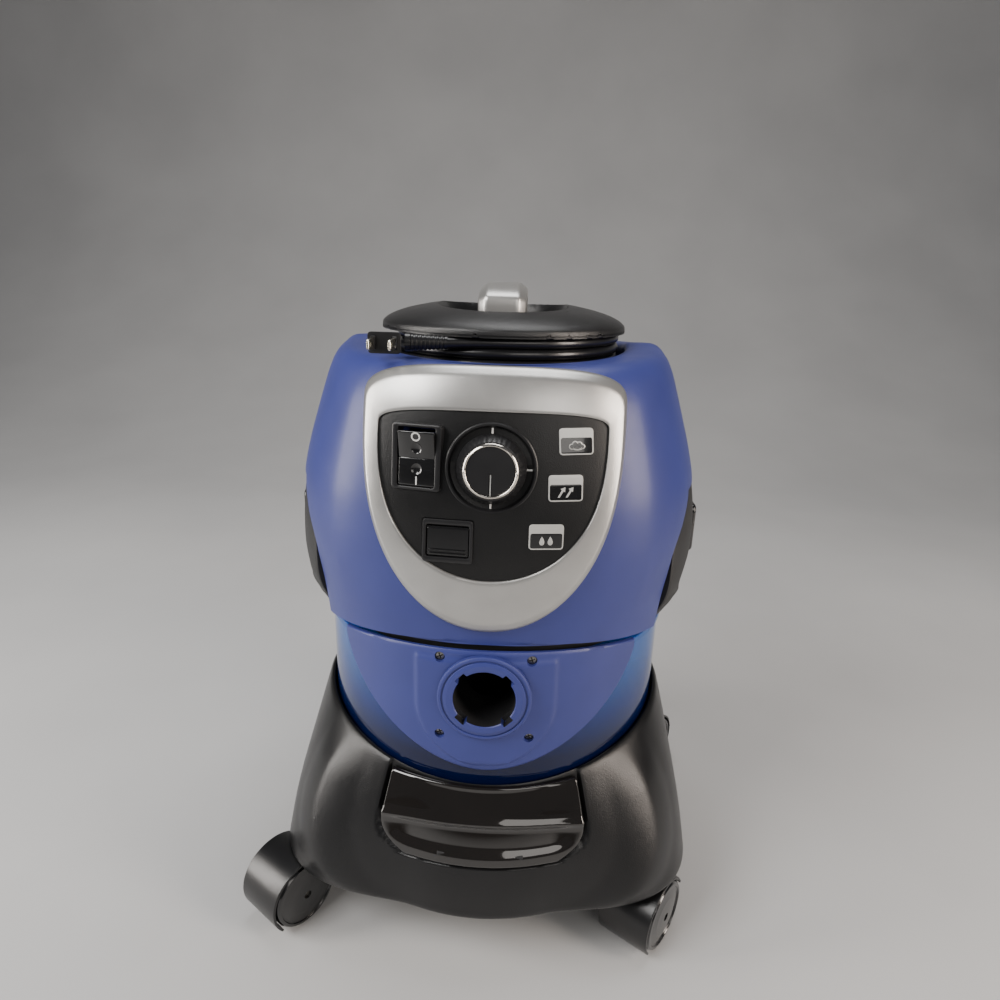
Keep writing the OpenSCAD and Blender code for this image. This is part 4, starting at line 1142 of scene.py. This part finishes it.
def make_pedal():
    """Smoked gloss cover: a sloped upper facet, a ridge, and a dished band below it."""
    z1 = 150.6
    n_s, n_u = 72, 96

    def out(phi_u, s):
        z = PEDAL_LOW + s * (z1 - PEDAL_LOW)
        phi = -90 + phi_u * pedal_half(z)
        r = max(skirt_r(phi, z) + 1.2, 136.2)
        ridge_s = 0.56 - 0.10 * phi_u ** 2
        bulge = 1.3 * math.exp(-((s - ridge_s) / 0.05) ** 2)
        dish = -2.6 * smoothstep(0.10, 0.24, s) * smoothstep(ridge_s + 0.01, ridge_s - 0.13, s) * \
            smoothstep(0.99, 0.70, abs(phi_u)) * (0.65 + 0.35 * s / ridge_s)
        edge_u = (1 - min(1.0, (1 - abs(phi_u)) / 0.02)) ** 2
        edge_s = (1 - min(1.0, s / 0.03)) ** 2 + (1 - min(1.0, (1 - s) / 0.03)) ** 2
        return polar(r + bulge + dish - 0.9 * edge_u - 0.9 * edge_s, phi, z)

    def back(phi_u, s):
        z = PEDAL_LOW + s * (z1 - PEDAL_LOW)
        phi = -90 + phi_u * pedal_half(z)
        return polar(max(skirt_r(phi, z) - 2.8, 133.6), phi, z)

    us = [-1 + 2 * j / n_u for j in range(n_u + 1)]
    us = sorted(set(us + [-0.993, -0.986, 0.986, 0.993]))
    ss = sorted(set([k / n_s for k in range(n_s + 1)] + [0.008, 0.018, 0.982, 0.992]))
    cover = grid_solid([[out(u, s) for u in us] for s in ss], [[back(u, s) for u in us] for s in ss])
    obj_from("pedal_cover", *cover, "pedal", "pedal", slot="pedal_gloss", sharp=50)
    arms = []
    for s in (-1, 1):
        side = [(-149.0, 102), (-149.0, 108), (-134.4, 108), (-134.4, 78), (-125.5, 74.5), (-124, 69),
                (-128, 66.8),
                (-132, 68.5), (-137.8, 74), (-137.8, 102)]
        outline = fillet([(y, z) for y, z in side], 1.5, 4)
        part = prism(outline, [-3, -2.6, 2.6, 3], [0.4, 0, 0, 0.4])
        turn = Matrix(((0, 0, 1, s * 26), (1, 0, 0, 0), (0, 1, 0, 0), (0, 0, 0, 1)))
        arms.append(moved(part, turn))
    o = obj_from("pedal_arms", *joined(*arms), "dark", "pedal", "release_pedal", "pedal_gloss", sharp=40)
    pins = [moved(lathe([(0.001, -6), (2.06, -6), (2.06, 6), (0.001, 6)], 24),
                  shift(s * 26, -128, 71) @ rot("Y", 90))
            for s in (-1, 1)]
    cut(o, *pins)
    dressed(o, "dark", "pedal", sharp=40)


make_dolly()
make_pedal()


# ---------------------------------------------------------------- castors
STEM_X, STEM_Y, TRAIL, WHEEL_R, HOOD_R, HOOD_HALF, TRAIL_TURN = 135.0, 83.0, 24.0, 26.0, 29.0, 20.0, 144.0


def make_castor(name, front, left):
    base = shift(-STEM_X if left else STEM_X, -STEM_Y if front else STEM_Y, 0) @ rot("Z",
            TRAIL_TURN + (0 if front else 180))
    axle = base @ shift(0, TRAIL, WHEEL_R) @ rot("Y", 90)
    # hood: a rounded drum over the wheels with a web between them, open below and behind
    h = HOOD_HALF
    section = fillet([(5.0, -4.7), (27.2, -4.7), (27.2, -h), (HOOD_R, -h), (HOOD_R, h), (27.2, h),
                      (27.2, 4.7), (5.0, 4.7)],
                     [0, 1.2, 0.5, 2.4, 2.4, 0.5, 1.2, 0], 6)
    hood = arc_solid(section, 52.0, 244.0, 72)
    hub = lathe([(3.06, -4.7), (7.0, -4.7), (7.0, 4.7), (3.06, 4.7)], 48)
    obj_from(name + "_hood", *moved(joined(hood, hub), axle), "castor", name + "_castor",
             name + "_castor_hood",
             "castor_plastic", sharp=32)
    neck = lathe(fillet([(0.001, 33), (8, 33), (8, 50), (7.2, 55.0), (0.001, 55.0)], [0, 0, 1, 1, 0], 4),
                 40)
    obj_from(name + "_hood_neck", *moved(neck, base), "castor", name + "_castor", slot="castor_plastic",
             sharp=40)
    # two domed wheels
    wheels = []
    wp = fillet([(3.0, 5.3), (24.3, 5.3), (26.0, 7.0), (26.0, 18.6), (24.6, 20.4), (22.6, 20.6),
                 (22.1, 19.8), (20.6, 19.8),
                 (14, 20.9), (7, 21.3), (3.0, 21.4)],
                [0, 0.6, 1.0, 1.6, 0.8, 0.3, 0.3, 0.6, 6, 3, 0], 5)
    for s in (0, 180):
        wheels.append(moved(lathe(wp, 112), axle @ rot("X", s)))
    obj_from(name + "_wheel_pair", *joined(*wheels), "tyre", name + "_wheels", name + "_castor_wheels",
             "wheel_plastic", sharp=35)


for side_name, is_front, is_left in (("front_left", True, True), ("front_right", True, False),
                                     ("rear_left", False, True), ("rear_right", False, False)):
    make_castor(side_name, is_front, is_left)


# ---------------------------------------------------------------- cap, handle and latches
def make_cap():
    """Domed cap with a rolled rim and a scooped dish under the handle."""
    prof = [(0.0, 460.0), (15, 459.9), (30, 459.6), (46, 458.4), (60, 456), (72, 453), (81, 449.4),
            (85.6, 446), (86.5, 443.6),
            (86.5, 441)]
    rs = [0.6 + 1.2 * k for k in range(0, 68)] + [82.4, 83.4, 84.2, 84.9, 85.4, 85.8, 86.1, 86.35, 86.5]
    seg = 200

    def crown(r):
        rows = [(p[0], p[1]) for p in prof]
        return table_at(r, [(a, b) for a, b in rows], 1)

    def dish(x, y):
        d = math.hypot(x, max(0.0, abs(y) - 18))
        return 446.1 + max(0.0, d - 39.0) * 2.2

    def height(x, y):
        r = math.hypot(x, y)
        a, b = crown(min(r, 86.5)), dish(x, y)
        k = 1.6
        h = max(k - abs(a - b), 0.0) / k
        return min(a, b) - h * h * k * 0.25

    ups = [[(r * math.cos(t), r * math.sin(t), height(r * math.cos(t), r * math.sin(t)))
            for t in (2 * math.pi * j / seg for j in range(seg))] for r in rs]
    rim = [(86.5, 442.8), (86.5, 441.9), (86.4, 441.4), (86.1, 441.1), (85.7, 441.0), (85.0, 441.0),
           (84.7, 441.4), (84.6, 443.0), (60, 443), (0.6, 443)]
    downs = [[(r * math.cos(t), r * math.sin(t), z) for t in (2 * math.pi * j / seg for j in range(seg))]
             for r, z in rim]
    rows = ups + downs
    verts = [p for row in rows for p in row]
    faces = quads(len(rows), seg, wrap_cols=True)
    faces += [tuple(range(seg)), tuple((len(rows) - 1) * seg + j for j in range(seg))]
    obj_from("cord_cap", verts, faces, "cap", "head", "cap_dome", "cap_plastic", sharp=28)


def handle_mesh():
    """Cross-sections along the arch, outside and inside curves taken from the grip's side view."""
    def top(y):
        t = min(1.0, abs(y) / 42.0)
        return 461 + 12 * math.sqrt(max(0.0, 1 - t * t)) if t < 0.999 else 461.0

    def under(y):
        t = min(1.0, abs(y) / 30.0)
        return 458 + 5 * math.sqrt(max(0.0, 1 - t * t))

    outer_side = [(-42 + 0.0, 446.3), (-42, 452), (-42, 458), (-41.6, 461.5)]
    outer_side += [(y, top(y)) for y in (-41, -40, -38, -35, -31, -26, -20, -14, -7, 0, 7, 14, 20, 26, 31,
                                         35, 38, 40, 41)]
    outer_side += [(41.6, 461.5), (42, 458), (42, 452), (42, 446.3)]
    inner_side = [(-30, 446.3), (-30, 450), (-30, 454), (-29.6, 457.6)]
    inner_side += [(y * 30 / 42, under(y * 30 / 42)) for y in (-41, -40, -38, -35, -31, -26, -20, -14, -7,
                                                               0, 7, 14, 20, 26, 31,
                                                              35, 38, 40, 41)]
    inner_side += [(29.6, 457.6), (30, 454), (30, 450), (30, 446.3)]
    rows = []
    for o, i in zip(outer_side, inner_side):
        ctr = Vector(((o[0] + i[0]) / 2, (o[1] + i[1]) / 2))
        d = Vector((o[0] - i[0], o[1] - i[1]))
        half = d.length / 2
        d.normalize()
        w = 16.4
        crown = 5.4
        base = fillet([(-w, -half), (w, -half), (w, half * 0.15), (w - crown, half), (-w + crown, half),
                       (-w, half * 0.15)],
                      [2.0, 2.0, 4.0, 5.0, 5.0, 4.0], 6)
        rows.append([(p[0], ctr.x + d.x * p[1], ctr.y + d.y * p[1]) for p in base])
    n = len(rows[0])
    verts = [p for r in rows for p in r]
    faces = quads(len(rows), n, wrap_cols=True)
    faces += [tuple(range(n)), tuple((len(rows) - 1) * n + j for j in range(n))]
    return verts, faces


WING_OUT = [(247, 134.6), (252, 138), (258, 141), (268, 145.2), (280, 147.4), (300, 147.6), (320, 146.4),
            (335, 144.2),
            (342, 142.6)]
WING_RAMP = [(336.5, 0.0), (338, 0.4), (341, 2.4)]
BUTTON_Z = 297.0


def wing_edge(z):
    """The latch's own front edge, just inside the seat's."""
    return edge_angle(z) - 0.5


def wing_inner(z):
    """The latch's inner face, drawn back above its pivot so that the top can swing inward."""
    return wing_seat(z) + 0.8 + table_at(z, WING_RAMP, 1)


def make_latch(side):
    n_s, n_u = 60, 56

    def outer(u, s):
        z = WING_LOW + s * (WING_HIGH - WING_LOW)
        phi = u * wing_edge(z)
        r = table_at(z, WING_OUT, 1) - 2.2 * abs(u) ** 2
        head_here = plan_r(abs(phi), table_at(z, HEAD_ROWS, 1), table_at(z, HEAD_ROWS, 2))
        r = max(min(r, head_here + 6), wing_inner(z) + 1.8)
        ridge = sum(h * math.exp(-((z - at - fall * abs(u)) / wide) ** 2)
                    for h, at, fall, wide in ((0.9, 262, 3, 1.3), (0.7, 256.5, 2, 1.1)))
        edge = sum((1 - min(1.0, d / w)) ** 2 for d, w in ((1 - abs(u), 0.03), (s, 0.02), (1 - s, 0.02)))
        return polar(r + ridge * smoothstep(1.0, 0.9, abs(u)) - 0.8 * min(1.0, edge), phi, z)

    def inner(u, s):
        z = WING_LOW + s * (WING_HIGH - WING_LOW)
        return polar(wing_inner(z), u * wing_edge(z), z)

    us = sorted(set([-1 + 2 * j / n_u for j in range(n_u + 1)] + [-0.99, -0.98, 0.98, 0.99]))
    ss = sorted(set([k / n_s for k in range(n_s + 1)] + [0.006, 0.012, 0.988, 0.994]))
    part = grid_solid([[outer(u, s) for u in us] for s in ss], [[inner(u, s) for u in us] for s in ss])
    o = obj_from(side + "_latch_wing", *part, "latch", side + "_latch", side + "_latch", "latch_plastic",
                 sharp=40)
    cut(o, moved(soft_box(38.8, 26.4, 6.4, 20, edge=0.1), shift(140.6, 0, BUTTON_Z) @ rot("Y", 90)))
    flip = Matrix.Identity(4)
    if side == "left":
        flip = Matrix.Diagonal((-1, 1, 1, 1))
        o.data.transform(flip)
        o.data.flip_normals()
    dressed(o, "latch", side + "_latch", sharp=40)
    pad = soft_box(38.0, 25.6, 6.0, 6.6, edge=2.2, steps=6)
    obj_from(side + "_latch_pad", *moved(pad, flip @ shift(144.0, 0, BUTTON_Z) @ rot("Y", 90)), "gloss",
             side + "_button",
             side + "_latch_button", "panel_gloss", sharp=40)


make_cap()
obj_from("carry_grip", *handle_mesh(), "silver", "head", "carry_handle", "silver_trim", sharp=45)
make_latch("left")
make_latch("right")


# ---------------------------------------------------------------- carried-over CAD nodes
KEPT = {
    "dolly_base_plate": "dark", "dolly_screws": "steel", "pedal_pin": "steel", "pedal_spring": "steel",
    "inlet_gasket": "rubber", "inlet_tube": "dark", "tank_seal": "rubber", "motor_plate": "dark",
    "socket_housing": "dark", "motor_housing": "alloy", "motor_core": "winding", "motor_bearings": "steel",
    "hepa_filter": "paper", "filter_cover": "dark", "cord_post": "dark", "latch_pins": "steel",
    "motor_shaft": "steel",
    "fan_impeller": "alloy", "separator": "dark",
}
for q in ("front_left", "front_right", "rear_left", "rear_right"):
    KEPT[q + "_castor_stem"] = "steel"
    KEPT[q + "_castor_axle"] = "steel"
for node_name, mat_name in KEPT.items():
    kept = NODES[node_name]
    kept.data.materials.clear()
    kept.data.materials.append(M[mat_name])
    smooth(kept.data, 30.0)


# ---------------------------------------------------------------- floor and light
def make_floor():
    n = Nodes("floor_pale")
    n.link(n.ramp(n.noise(3.0, 4.0), [(0.3, (0.44, 0.44, 0.44)), (0.7, (0.49, 0.49, 0.488))]),
           n.shader.inputs["Base Color"])
    n.shader.inputs["Roughness"].default_value = 0.85
    side = [(-7.0, 0.0), (-3.0, 0.0), (-1.0, 0.0), (1.0, 0.0)]
    side += [(1.0 + 1.6 * math.sin(a), 1.6 - 1.6 * math.cos(a))
             for a in (math.pi / 2 * k / 24 for k in range(1, 25))]
    side += [(2.6, 5.0)]
    mesh = bpy.data.meshes.new("floor")
    mesh.from_pydata([(x, y, z - 0.0002) for y, z in side for x in (-7.0, 7.0)], [],
                     [(2 * k, 2 * k + 1, 2 * k + 3, 2 * k + 2) for k in range(len(side) - 1)])
    mesh.polygons.foreach_set("use_smooth", [True] * len(mesh.polygons))
    floor = bpy.data.objects.new("floor", mesh)
    bpy.context.scene.collection.objects.link(floor)
    mesh.materials.append(n.mat)


def area(name, at, target, size, energy, color):
    data = bpy.data.lights.new(name, "AREA")
    data.shape = "RECTANGLE"
    data.size, data.size_y = size
    data.energy, data.color = energy, color
    o = bpy.data.objects.new(name, data)
    bpy.context.scene.collection.objects.link(o)
    o.location = at
    o.rotation_euler = (Vector(target) - Vector(at)).to_track_quat("-Z", "Y").to_euler()


def make_light():
    world = bpy.data.worlds.new("soft_room")
    bpy.context.scene.world = world
    world.use_nodes = True
    world.node_tree.nodes["Background"].inputs["Color"].default_value = (0.92, 0.94, 1.0, 1)
    world.node_tree.nodes["Background"].inputs["Strength"].default_value = 0.12
    area("key_left", (-1.1, -0.9, 1.5), (0, 0, 0.28), (0.8, 0.8), 26, (1.0, 0.98, 0.96))
    area("side_left", (-1.3, -0.35, 0.55), (0, 0, 0.16), (0.3, 0.9), 15, (1.0, 0.95, 0.90))
    area("side_right", (1.2, -0.55, 0.6), (0, 0, 0.16), (0.35, 0.9), 16, (1.0, 0.88, 0.78))
    area("top_soft", (0.1, 0.3, 2.0), (0, 0, 0.3), (1.2, 0.8), 16, (1, 1, 1))
    area("front_soft", (0.9, -2.0, 1.3), (0, 0, 0.2), (1.2, 1.2), 12, (1.0, 0.95, 0.90))


make_floor()
make_light()
